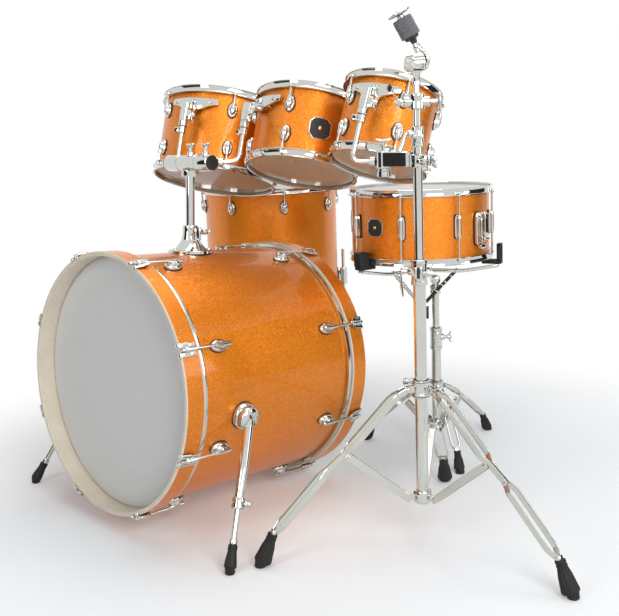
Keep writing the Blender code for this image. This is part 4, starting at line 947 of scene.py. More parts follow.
def tom_arm(drum, name, body, bend, end):
    """A plated L-rod with a memory lock under the bracket and a collar at its socket."""
    piece = Piece(name + "_chrome", body, "chrome", name)
    degrees = MOUNTS[drum.name]
    wall = drum.radius + ARM_OFFSET
    top = (drum.place @ around(degrees, wall, drum.edge - 0.056)).translation
    bend, end = KIT @ bend, KIT @ end
    route = rounded([top, bend, end], 0.022, 12)
    lateral = (bend - top).cross(end - bend)
    piece.carried(route, circle(ARM_RADIUS, 28), lateral, CHROME)
    piece.spindle(top, top + (bend - top).normalized() * 0.0008, [(0, 0.0040), (0.0008, 0.0046)], CHROME)
    spot = drum.place @ around(degrees, wall, drum.edge - 0.1218)
    lock = [(0, 0.0080), (0.0012, 0.0094), (0.0070, 0.0094), (0.0076, 0.0082), (0.0089, 0.0082),
            (0.0095, 0.0094), (0.0153, 0.0094), (0.0165, 0.0080)]
    piece.spindle((0, 0, -0.00825), (0, 0, 0.00825), lock, CHROME, spot, 36)
    piece.block((0.0110, 0.0120, 0.0125), spot @ at(0.0030, -0.0125, 0), CHROME, 0.0016)
    screw_head(piece, spot @ at(0.0080, -0.0125, 0) @ turn(90, "Y"), 0.0032, BLACK_GASKET_AND_SLOT_SHADE)
    toward = (bend - end).normalized()
    collar = [(0, 0.0092), (0.0012, 0.0105), (0.0105, 0.0105), (0.012, 0.0090)]
    piece.spindle(end, end + toward * 0.012, collar, CHROME, steps=36)
    piece.finish()


def spur(name, side, degrees):
    """One bass drum spur: a pivot disc whose dome has its slot drawn as a black bar of painted shade, a lever,
    the sleeve, and the telescoping tip."""
    place = BASS @ turn(degrees) @ at(0.2923, 0, SPUR_FORWARD)
    foot_point = KIT @ Vector((side * SPUR_FOOT[0], SPUR_FOOT[1], SPUR_FOOT[2]))
    start = place @ Vector((0.009, 0, 0))
    line = foot_point - start
    length = line.length
    sleeve = along(start, foot_point)

    leg = Piece("spur_leg_%s_chrome" % name, "spur_%s" % name, "chrome", "spur_leg_%s" % name)
    disc = [(0, 0.0235), (0.0012, 0.0255), (0.0090, 0.0255), (0.0120, 0.0240), (0.0155, 0.0180),
            (0.0175, 0.0100), (0.0180, 0.0040)]
    leg.spindle((0, 0, 0), (0.018, 0, 0), disc, CHROME, place, 64)
    # The dome's slot: a thin black bar of painted shade on the dome, not a cut
    leg.block((0.0016, 0.0300, 0.0040), place @ at(0.0172, 0, 0) @ turn(35, "X"), BLACK_GASKET_AND_SLOT_SHADE, 0.0006)
    tube = [(0, 0.0080), (0.004, 0.0100), (0.164, 0.0100), (0.1645, 0.0128), (0.166, 0.0136),
            (0.174, 0.0136), (0.1750, 0.0126), (0.1770, 0.0126), (0.1780, 0.0136), (0.186, 0.0136),
            (0.188, 0.0118)]
    leg.spindle((0, 0, 0), (0, 0, 0.188), tube, CHROME, sleeve, 40)
    leg.rod((0.0120, 0, 0.176), (0.0190, 0, 0.176), 0.0030, CHROME, sleeve, 16)
    wing_nut(leg, sleeve @ at(0.0150, 0, 0.176) @ turn(90, "Y") @ turn(90), 0.026, lift=0.5)
    leg.finish()

    tip = Piece("spur_tip_%s_chrome" % name, "spur_%s_tip" % name, "rubber", "spur_tip_%s" % name)
    tip.rod((0, 0, 0.095), (0, 0, length - 0.030), 0.0060, CHROME, sleeve, 32)
    ferrule = [(0, 0.0074), (0.0012, 0.0086), (0.010, 0.0086), (0.0112, 0.0074)]
    tip.spindle((0, 0, length - 0.058), (0, 0, length - 0.0468), ferrule, CHROME, sleeve, 32)
    boot = [(0, 0.0080), (0.0012, 0.0094), (0.0100, 0.0098), (0.0112, 0.0090), (0.0130, 0.0092),
            (0.0330, 0.0122), (0.0420, 0.0130), (0.0445, 0.0118)]
    tip.spindle((0, 0, length - 0.0465), (0, 0, length - 0.0020), boot, RUBBER, sleeve, 72,
                lambda a, row: -0.0008 * np.clip(np.cos(9 * a), 0, 1) * (row in (6, 7)))
    tip.spindle(foot_point + Vector((0, 0, 0.006)), foot_point - Vector((0, 0, 0.0098)),
                [(0, 0.0100), (0.0130, 0.0104), (0.0158, 0.0088)], RUBBER, steps=40)
    tip.finish()


def floor_tom_legs():
    """Three bent legs with rubber feet."""
    for i, degrees in enumerate(FLOOR_LEG_ANGLES):
        piece = Piece("floor_tom_leg_%d_chrome" % (i + 1), "floor_tom_leg_%d" % (i + 1), "chrome",
                      "floor_tom_leg_%d" % (i + 1))
        base = (FLOOR.place @ around(degrees, FLOOR.radius + 0.020, 0)).translation
        place = at(base.x, base.y, 0) @ turn(degrees)
        route = rounded([(0, 0, 0.490), (0, 0, 0.130), (0.030, 0, 0.030)], 0.030, 12)
        piece.carried(route, circle(0.0048, 28), (0, 1, 0), CHROME, place)
        piece.spindle((0, 0, 0.4895), (0, 0, 0.4912),
                      [(0, 0.0046), (0.0010, 0.0040), (0.0017, 0.0028)], CHROME, place)
        boot = [(0, 0.0080), (0.0015, 0.0092), (0.0130, 0.0094), (0.0142, 0.0086), (0.0165, 0.0090),
                (0.0340, 0.0134), (0.0395, 0.0140), (0.0420, 0.0126)]
        piece.spindle((0.030, 0, 0.042), (0.030, 0, 0.0002), boot, RUBBER, place, 72)
        piece.finish()


tom_post()
tom_holder()
tom_arm(LARGE, "large_tom_arm", "large_tom_arm", LARGE_BEND, LEFT_END)
tom_arm(MIDDLE, "middle_tom_arm", "middle_tom_arm", MIDDLE_BEND, RIGHT_END)
tom_arm(SMALL, "small_tom_arm", "small_tom_arm", SMALL_BEND, CLAMP_END)
spur("left", 1, SPUR_ANGLE)
spur("right", -1, 180 - SPUR_ANGLE)
floor_tom_legs()


def eased(x, stops, values):
    """Values between stops that leave and reach each one level: v0 + (v1 - v0)(1 - cos(pi t)) / 2."""
    stops, values = np.array(stops, float), np.array(values, float)
    k = np.clip(np.searchsorted(stops, x) - 1, 0, len(stops) - 2)
    t = np.clip((x - stops[k]) / (stops[k + 1] - stops[k]), 0, 1)
    return values[k] + (values[k + 1] - values[k]) * (1 - np.cos(math.pi * t)) / 2


def evenly(path, count):
    """The same path through count points at even distances along it."""
    run = np.concatenate([[0], np.cumsum(np.linalg.norm(np.diff(path, axis=0), axis=1))])
    spots = np.linspace(0, run[-1], count)
    return np.column_stack([np.interp(spots, run, path[:, i]) for i in range(3)])


def rivet(piece, place, half, radius):
    """A rivet across Y with a domed head at each end."""
    head = [(0, radius * 0.55), (0.0006, radius * 0.90), (0.0018, radius), (0.0022, radius)]
    piece.rod((0, -half, 0), (0, half, 0), radius * 0.6, CHROME, place, 16)
    piece.spindle((0, half + 0.0020, 0), (0, half - 0.0002, 0), head, CHROME, place, 24)
    piece.spindle((0, -half - 0.0020, 0), (0, 0.0002 - half, 0), head, CHROME, place, 24)


def split_clamp(piece, place, radius, low, high, bore):
    """A cast tube clamp: rolled rims, a plastic liner above, and a flat belly between two grooves."""
    c = 0.0016
    deep = radius - 0.0009
    outer = [(radius - c, low), (radius, low + c), (radius, low + 0.008), (deep, low + 0.0088),
             (deep, high - 0.0088), (radius, high - 0.008), (radius, high - c), (radius - c, high)]
    piece.turned(outer + [(bore + 0.0014, high), (bore + 0.0014, low)], CHROME, place, 64, True)
    liner = [(bore + 0.0013, high + 0.0006), (bore + 0.0002, high + 0.0006), (bore + 0.0002, high - 0.004),
             (bore + 0.0013, high - 0.004)]
    piece.turned(liner, PLASTIC, place, 64, True)


def clamp_bolt(piece, place, reach, span):
    """Two lugs beside a clamp's slit with the wing screw that draws them together. X points outwards."""
    for side in (-1, 1):
        piece.block((0.0130, 0.0062, 0.0240), place @ at(0.0195, side * 0.0054, 0), CHROME, 0.0024, 3)
    # A black block fills the slit between the lugs: painted shade in the gap
    piece.block((0.0120, 0.0048, 0.0220), place @ at(0.0175, 0, 0), BLACK_GASKET_AND_SLOT_SHADE, 0.0004)
    bolt = place @ at(0.0205, 0.0080, 0) @ turn(-90, "X")
    piece.rod((0, 0, 0), (0, 0, reach), 0.0036, CHROME, bolt, 18)
    wing_nut(piece, bolt @ at(0, 0, reach - 0.004) @ turn(90), span, lift=0.6)
    piece.spindle((0, 0, 0), (0, 0, 0.0065), [(0, 0.0062), (0.0052, 0.0062), (0.0065, 0.0050)], CHROME,
                  place @ at(0.0205, -0.0080, 0) @ turn(90, "X"), 6)


# A stand's foot, with points of (distance from the tube, height): hinge, line and boot run down a leg,
# brace is the pair of a brace's ends, foot the distance of a leg's tip, and knob the height of the collar's
# screw over the hinge
Tripod = namedtuple("Tripod", "name place heading hinge line foot brace channel strip boot bows knob")

# Strips bow apart and close again: stops of distance from the tube, and half the gap at each
CYMBAL_BOWS = (
    (0.031, 0.045, 0.060, 0.150, 0.170, 0.200, 0.222, 0.298, 0.322),
    (0.0082, 0.0086, 0.0126, 0.0126, 0.0030, 0.0030, 0.0130, 0.0130, 0.0022),
)
SNARE_BOWS = (
    (0.028, 0.046, 0.056, 0.074, 0.086, 0.098, 0.112, 0.168, 0.184),
    (0.0078, 0.0078, 0.0100, 0.0100, 0.0030, 0.0030, 0.0098, 0.0098, 0.0022),
)
CYMBAL_FEET = Tripod(
    name="cymbal_stand", place=KIT @ at(*CYMBAL_BASE), heading=-1.69, foot=0.3485, channel=0.0122,
    strip=0.0135, hinge=(0.031, 0.334), line=((0.062, 0.319), (0.164, 0.216), (0.205, 0.183)), knob=0.0140,
    brace=((0.0345, 0.104), (0.158, 0.207)), boot=((0.3217, 0.0625), 0.0105, 0.0181), bows=CYMBAL_BOWS,
)
SNARE_FEET = Tripod(
    name="snare_stand", place=KIT @ at(*SNARE_BASE), heading=-37.9, foot=0.205, channel=0.0116,
    strip=0.0110, hinge=(0.028, 0.168), line=((0.052, 0.156), (0.090, 0.130)), knob=0.0125,
    brace=((0.0325, 0.066), (0.080, 0.115)), boot=((0.1841, 0.0476), 0.0088, 0.0140), bows=SNARE_BOWS,
)


def tripod_leg(feet, number):
    """Two plated strips riveted together, which bow apart and close again, on a fluted rubber foot."""
    name = "%s_leg_%d" % (feet.name, number)
    piece = Piece(name + "_chrome", name, "chrome", name)
    place = feet.place @ turn(feet.heading + 120 * (number - 1))
    (end_x, end_z), neck, flare = feet.boot
    corners = [(x, 0, z) for x, z in (feet.hinge,) + feet.line + ((end_x, end_z),)]
    path = evenly(rounded(corners, 0.014, 8), 96)
    ends = graded(path, [0, 0.02, 0.97, 1], [0.72, 1, 1, 0.72])
    for side in (-1, 1):
        bow = side * eased(path[:, 0], *feet.bows)
        piece.carried(path, oval(0.0027, feet.strip, 24, 3.6), (0, 1, 0), STRIP, place, ends, bow)
    rivet(piece, place @ at(feet.hinge[0], 0, feet.hinge[1]), 0.0096, 0.0050)
    tie_x, tie_z = feet.line[-1]
    rivet(piece, place @ at(tie_x, 0, tie_z), 0.0050, 0.0044)
    end, tip = Vector((end_x, 0, end_z)), Vector((feet.foot, 0, 0))
    slope = (end - tip).normalized()
    piece.block((0.0150, 0.0100, 0.0160), place @ along(end + slope * 0.0040, end), CHROME, 0.0030, 3)
    rubber_foot(piece, end + slope * 0.004, tip + slope * 0.009, place, neck, flare)
    piece.spindle((tip.x, 0, 0.0190), (tip.x, 0, 0.0002), [(0, 0.0080), (0.006, 0.0108), (0.0165, 0.0118),
                  (0.0188, 0.0102)], RUBBER, place, 48)
    piece.finish()


def tripod_brace(feet, number):
    """A channel of sheet steel whose ends straddle the hub's ear and the leg's strips."""
    name = "%s_brace_%d" % (feet.name, number)
    piece = Piece(name + "_chrome", name, "chrome", name)
    (x0, z0), (x1, z1) = feet.brace
    low, high = Vector((x0, 0, z0)), Vector((x1, 0, z1))
    slope, across = (high - low).normalized(), Vector((0, 1, 0))
    axes = Matrix((slope, across, slope.cross(across))).transposed().to_4x4()
    place = feet.place @ turn(feet.heading + 120 * (number - 1)) @ at(*low) @ axes
    length = (high - low).length
    half = feet.channel / 2
    for side in (-1, 1):
        flange = oval(length + 0.016, 0.0155, 64, 9.0) + (length / 2, 0)
        piece.slab(flange, 0.0014, place @ at(0, side * half, 0) @ turn(90, "X"), STRIP, 0.0004)
    web = oval(length - 0.034, feet.channel, 48, 14.0) + (length / 2, 0)
    piece.slab(web, 0.0014, place @ at(0, 0, 0.0068), STRIP, 0.0004)
    rivet(piece, place, half, 0.0044)
    rivet(piece, place @ at(length, 0, 0), half, 0.0044)
    piece.finish()


def tripod_collar(feet):
    """The sliding collar: a cast ring with dark seams, a forked ear for each leg, and a wing screw."""
    name = feet.name + "_collar"
    piece = Piece(name + "_chrome", name, "chrome", name)
    x, z = feet.hinge
    place = feet.place @ at(0, 0, z)
    split_clamp(piece, place, 0.0185, -0.018, 0.018, TUBE + 0.0004)
    for height in (-0.0150, 0.0150):
        seam = [(0.0186, height - 0.0006), (0.0186, height + 0.0006), (0.0176, height + 0.0006),
                (0.0176, height - 0.0006)]
        piece.turned(seam, BLACK_GASKET_AND_SLOT_SHADE, place, 64, True)
    for i in range(3):
        spoke = place @ turn(feet.heading + 120 * i)
        ear = oval(0.0230, 0.0150, 40, 3.0) + (x - 0.0080, 0)
        for side in (-1, 1):
            piece.slab(ear, 0.0030, spoke @ at(0, side * 0.0042, 0) @ turn(90, "X"), CHROME, 0.0008)
        piece.block((0.0070, 0.0110, 0.0140), spoke @ at(0.0195, 0, 0), CHROME, 0.0016)
    knob = place @ turn(feet.heading + 215) @ at(0, 0, feet.knob)
    piece.spindle((0.0160, 0, 0), (0.0230, 0, 0), [(0, 0.0070), (0.0060, 0.0064), (0.0070, 0.0050)],
                  CHROME, knob, 28)
    piece.rod((0.020, 0, 0), (0.034, 0, 0), 0.0034, CHROME, knob, 18)
    wing_nut(piece, knob @ at(0.0255, 0, 0) @ turn(90, "Y") @ turn(90), 0.026, lift=0.5)
    piece.finish()


def hub(piece, feet):
    """The foot casting on the tube, with a rounded tongue for each brace to straddle."""
    x, z = feet.brace[0]
    cup = [(TUBE + 0.0002, z - 0.014), (0.0165, z - 0.014), (0.0190, z - 0.0110), (0.0195, z + 0.007),
           (0.0175, z + 0.0115), (TUBE + 0.0002, z + 0.012)]
    piece.turned(cup, CHROME, feet.place, 64, True)
    for i in range(3):
        spoke = feet.place @ turn(feet.heading + 120 * i)
        tongue = oval(x - 0.0080, 0.0125, 40, 3.4) + (x / 2 + 0.0075, 0)
        piece.slab(tongue, 0.0080, spoke @ at(0, 0, z) @ turn(90, "X"), CHROME, 0.0016)


def base_tube(feet, low, high):
    """A stand's fixed tube between two heights, with the plastic cap under it and its hub."""
    piece = Piece(feet.name + "_base_tube_chrome", "kit", "chrome", feet.name + "_base_tube")
    bore = 0.0108
    piece.turned([(TUBE, low), (TUBE, high), (bore, high), (bore, low)], CHROME, feet.place, 64, True)
    cap = [(0, 0.0120), (0.0015, 0.0136), (0.0095, 0.0136)]
    piece.spindle((0, 0, low - 0.0015), (0, 0, low + 0.0080), cap, PLASTIC, feet.place, 48)
    hub(piece, feet)
    return piece


def cymbal_stand():
    """Base tube with its hub and clamp, mast with a lever clamp, and the thin rod with its cross clamp."""
    place = CYMBAL_FEET.place
    piece = base_tube(CYMBAL_FEET, 0.100, 0.560)
    split_clamp(piece, place, 0.0168, 0.548, 0.600, 0.0097)
    clamp_bolt(piece, place @ turn(-58) @ at(-0.0040, 0, 0.574), 0.014, 0.034)
    wing = place @ turn(200) @ at(0, 0, 0.575)
    piece.rod((0.012, 0, 0), (0.038, 0, 0), 0.0038, CHROME, wing, 18)
    piece.spindle((0.014, 0, 0), (0.024, 0, 0), [(0, 0.0084), (0.008, 0.0078), (0.010, 0.0060)],
                  CHROME, wing, 28)
    paddle = rounded([(0, 0, 0.006), (0.0020, 0, -0.020), (-0.0020, 0, -0.052)], 0.016, 8)
    width = graded(paddle, [0, 0.1, 0.5, 0.9, 1], [0.55, 0.75, 0.9, 1.1, 0.6])
    piece.carried(paddle, oval(0.0130, 0.0050, 24), (0, 1, 0), CHROME, wing @ at(0.0370, 0, 0), width)
    piece.finish()

    mast = Piece("cymbal_stand_mast_chrome", "cymbal_stand_mast", "chrome", "cymbal_stand_mast")
    mast.turned([(0.0095, 0.430), (0.0095, 0.826), (0.0086, 0.826), (0.0086, 0.430)], CHROME, place,
                56, True)
    split_clamp(mast, place, 0.0135, 0.822, 0.862, 0.0079)
    mast.block((0.0110, 0.0120, 0.0240), place @ turn(-45) @ at(0.0150, 0, 0.842), CHROME, 0.0024, 3)
    for side in (-1, 1):
        screw_head(mast, place @ turn(-45) @ at(0.0160, side * 0.0056, 0.842) @ turn(-90 * side, "X"),
                   0.0046)
    heading = place @ turn(-110)
    mast.spindle((0.0100, 0, 0.848), (0.0220, 0, 0.848), [(0, 0.0080), (0.010, 0.0074), (0.012, 0.0058)],
                 CHROME, heading, 28)
    lever = rounded([(0.012, 0, 0.848), (0.027, 0, 0.848), (0.040, 0, 0.815)], 0.010, 8)
    taper = graded(lever, [0, 0.8, 1], [0.85, 1.0, 1.25])
    mast.carried(lever, circle(0.0040, 20), (0, 1, 0), CHROME, heading, taper)
    mast.finish()

    rod = Piece("cymbal_stand_top_rod_chrome", "cymbal_stand_top_rod", "chrome", "cymbal_stand_top_rod")
    rod.rod((0, 0, 0.740), (0, 0, 0.900), 0.0078, CHROME, place, 40)
    stem = [(0, 0.0078), (0.004, 0.0078), (0.008, 0.0066), (0.020, 0.0066), (0.0205, 0.0088),
            (0.0255, 0.0088), (0.026, 0.0066), (0.037, 0.0074), (0.0456, 0.0118)]
    rod.spindle((0, 0, 0.922), (0, 0, TILTER_HEIGHT - 0.014), stem, CHROME, place, 40)
    cross = place @ turn(TILTER_HEADING) @ at(0, 0, 0.909)
    body = [(0, 0.0130), (0.0016, 0.0155), (0.0050, 0.0160), (0.0120, 0.0142), (0.0200, 0.0142),
            (0.0270, 0.0160), (0.0304, 0.0155), (0.032, 0.0130)]
    rod.spindle((0, 0, -0.016), (0, 0, 0.016), body, CHROME, cross, 48)
    rod.spindle((-0.026, 0, 0), (0.026, 0, 0),
                [(0, 0.0088), (0.0020, 0.0104), (0.050, 0.0104), (0.052, 0.0088)], CHROME, cross, 36)
    rod.rod((-0.042, 0, 0), (0.044, 0, 0), 0.0044, CHROME, cross, 20)
    wing_nut(rod, cross @ at(-0.0320, 0, 0) @ turn(-90, "Y"), 0.030)
    ring_wing(rod, cross @ at(0.0445, 0, 0) @ turn(90, "Y"), 0.0160, 0.0120, 0.0046)
    ratchet = [(0, 0.0050), (0.0010, 0.0105), (0.0040, 0.0142), (0.0080, 0.0150), (0.0180, 0.0150),
               (0.0190, 0.0136), (0.0335, 0.0136), (0.0345, 0.0150), (0.0360, 0.0148)]
    top = place @ turn(TILTER_HEADING) @ at(0, 0, TILTER_HEIGHT)
    rod.spindle((-0.0235, 0, 0), (0.0125, 0, 0), ratchet, CHROME, top, 96, knurled(0.0006, 24, 4, 5))
    rod.finish()


def ring_wing(piece, place, high, wide, thick):
    """An oval ring nut: a round bar carried round an ellipse in XY, closed, on a short boss along Z."""
    t = np.arange(64) * 2 * math.pi / 64
    a = np.arange(16) * 2 * math.pi / 16
    spread_x = high + thick / 2 * np.cos(a)[None, :]
    spread_y = wide + thick / 2 * np.cos(a)[None, :]
    x = spread_x * np.cos(t)[:, None]
    y = spread_y * np.sin(t)[:, None]
    z = thick / 2 * np.sin(a)[None, :] + 0.0 * x
    piece.grid(np.stack([x, y, z], axis=2), CHROME, place, True)
    piece.spindle((0, 0, -0.006), (0, 0, 0.004),
                  [(0, 0.0060), (0.0012, 0.0070), (0.0088, 0.0064), (0.010, 0.0050)], CHROME, place, 28)
    for side in (-1, 1):
        piece.rod((0, 0, 0), (0, side * wide, 0), thick * 0.45, CHROME, place, 16)


def cymbal_tilter():
    """The arm beside the ratchet, the rod with its cup, sleeve and two felts, and the ring nut."""
    piece = Piece("cymbal_tilter_chrome", "cymbal_tilter", "chrome", "cymbal_tilter")
    place = CYMBAL_FEET.place @ at(0, 0, TILTER_HEIGHT) @ turn(TILTER_HEADING)
    start = 0.0128
    disc = [(0, 0.0120), (0.0006, 0.0140), (0.0030, 0.0140), (0.0040, 0.0110)]
    piece.spindle((start, 0, 0), (start + 0.0040, 0, 0), disc, CHROME, place, 56)
    elbow = Vector((0.0050, 0, 0.0262))
    lean = Vector((-0.47, 0, 0.883)).normalized()
    plate = evenly(rounded([(start + 0.0030, 0, -0.0135), (start + 0.0100, 0, -0.0020),
                            (start + 0.0092, 0, 0.0120), (start + 0.0015, 0, 0.0230), tuple(elbow)],
                           0.010, 8), 40)
    width = graded(plate, [0, 0.12, 0.45, 0.8, 1], [0.35, 0.80, 1.0, 0.75, 0.65])
    piece.carried(plate, oval(0.0215, 0.0086, 28, 2.6), (0, 1, 0), CHROME, place, width)
    rod = place @ along(elbow, elbow + lean)
    piece.rod((0, 0, -0.001), (0, 0, 0.083), 0.0034, CHROME, rod, 24)
    piece.spindle((0, 0, -0.004), (0, 0, 0.013),
                  [(0, 0.0062), (0.0020, 0.0078), (0.0120, 0.0078), (0.017, 0.0056)], CHROME, rod, 36,
                  knurled(0.0004, 20, 2, 3))
    cup = [(0, 0.0044), (0.0040, 0.0058), (0.0090, 0.0072), (0.0110, 0.0130), (0.0150, 0.0150),
           (0.0170, 0.0150)]
    piece.spindle((0, 0, 0.0120), (0, 0, 0.0290), cup, PLASTIC, rod, 48)
    felt = [(0, 0.0186), (0.0004, 0.0191), (0.0020, 0.0195), (0.0096, 0.0195), (0.0160, 0.0194),
            (0.0186, 0.0188), (0.0192, 0.0180)]
    for low in (0.0286, 0.0478):
        piece.spindle((0, 0, low), (0, 0, low + 0.0192), felt, FELT, rod, 64)
    boss = [(0, 0.0078), (0.0010, 0.0086), (0.0030, 0.0086), (0.0040, 0.0066), (0.0105, 0.0062),
            (0.0125, 0.0050)]
    piece.spindle((0, 0, 0.0672), (0, 0, 0.0797), boss, CHROME, rod, 36)
    ring_wing(piece, rod @ at(0, 0, 0.0776), 0.0208, 0.0208, 0.0052)
    piece.slab(oval(0.0380, 0.0380, 64, 2.0), 0.0016, rod @ at(0, 0, 0.0776), CHROME, 0.0004)
    piece.finish()


def small_tom_clamp():
    """The clamp on the mast, its neck, and the eye that grips the small tom's L-rod, with its bolts."""
    piece = Piece("small_tom_clamp_chrome", "small_tom_clamp", "chrome", "small_tom_clamp")
    centre = Vector((CYMBAL_BASE.x, CYMBAL_BASE.y, SMALL_CLAMP_HEIGHT))
    place = KIT @ at(*centre)
    eye = Vector((0.505, -0.175, SMALL_CLAMP_HEIGHT)) - centre
    toward = eye.normalized()
    heading = math.degrees(math.atan2(toward.y, toward.x))
    split_clamp(piece, place, 0.0175, -0.013, 0.013, 0.0098)
    spoke = place @ turn(heading)
    reach = eye.length
    neck = [(0.0140, 0.0118), (0.0180, 0.0104), (0.0400, 0.0104), (0.0440, 0.0130), (reach, 0.0130),
            (reach + 0.0085, 0.0130), (reach + 0.010, 0.0112)]
    piece.spindle((0, 0, 0), (reach + 0.010, 0, 0), neck, CHROME, spoke, 40)
    spot = place @ at(*eye)
    barrel = [(0, 0.0130), (0.0014, 0.0148), (0.0120, 0.0148), (0.0132, 0.0128), (0.0165, 0.0128),
              (0.0180, 0.0150), (0.0200, 0.0154), (0.0500, 0.0154), (0.0520, 0.0138)]
    piece.spindle((0, 0, -0.032), (0, 0, 0.020), barrel, CHROME, spot, 48)
    casting = oval(reach - 0.0040, 0.0290, 72, 4.0) + ((reach + 0.0200) / 2 - 0.0020, 0)
    piece.slab(casting, 0.0310, spoke @ at(0, 0, 0.0035), CHROME, 0.0022)
    t_bolt(piece, spot @ turn(44) @ at(0, 0, 0.016), 0.0235, 0.034, 0.0070)
    for side in (-1, 1):
        piece.block((0.0130, 0.0085, 0.0220), spoke @ at(-0.0190, side * 0.0062, 0), CHROME, 0.0024, 3)
    bolt = spoke @ at(-0.0190, 0, 0)
    piece.rod((0, -0.034, 0), (0, 0.030, 0), 0.0040, CHROME, bolt, 18)
    wing_nut(piece, bolt @ at(0, -0.0240, 0) @ turn(90, "X") @ turn(90), 0.030)
    piece.spindle((0, 0.0100, 0), (0, 0.0175, 0), [(0, 0.0072), (0.0060, 0.0072), (0.0075, 0.0056)],
                  CHROME, bolt, 6)
    piece.finish()


def snare_stand():
    """Base tube with its hub and clamp, and the upper tube with the barrel that the basket tilts on."""
    place = SNARE_FEET.place
    piece = base_tube(SNARE_FEET, 0.062, 0.285)
    split_clamp(piece, place, 0.0168, 0.273, 0.333, 0.0097)
    piece.block((0.0110, 0.0150, 0.0420), place @ turn(-50) @ at(0.0175, 0, 0.303), CHROME, 0.0030, 3)
    wing = place @ turn(40) @ at(0, 0, 0.306)
    piece.spindle((0.013, 0, 0), (0.024, 0, 0), [(0, 0.0086), (0.009, 0.0078), (0.011, 0.0060)],
                  CHROME, wing, 28)
    piece.rod((0.020, 0, 0), (0.038, 0, 0), 0.0038, CHROME, wing, 18)
    wing_nut(piece, wing @ at(0.0300, 0, 0) @ turn(90, "Y"), 0.030, lift=0.6)
    piece.finish()

    upper = Piece("snare_stand_upper_tube_chrome", "snare_stand_upper_tube", "chrome",
                  "snare_stand_upper_tube")
    upper.rod((0, 0, 0.200), (0, 0, JOINT_HEIGHT - 0.018), 0.0095, CHROME, place, 48)
    split_clamp(upper, place, 0.0140, JOINT_HEIGHT - 0.038, JOINT_HEIGHT - 0.0150, 0.0096)
    barrel = Vector((0, 0, JOINT_HEIGHT))
    upper.spindle(barrel - SNARE_SIDE * 0.0078 - Vector((0, 0, 0.022)), barrel - SNARE_SIDE * 0.0078,
                  [(0, 0.0078), (0.022, 0.0064)], CHROME, place, 28)
    disc = [(0, 0.0100), (0.0012, 0.0118), (0.0100, 0.0118), (0.0110, 0.0125), (0.0137, 0.0125)]
    upper.spindle(barrel - SNARE_SIDE * 0.014, barrel - SNARE_SIDE * 0.0003, disc, CHROME, place, 96,
                  knurled(0.0006, 30, 4, 5))
    upper.finish()


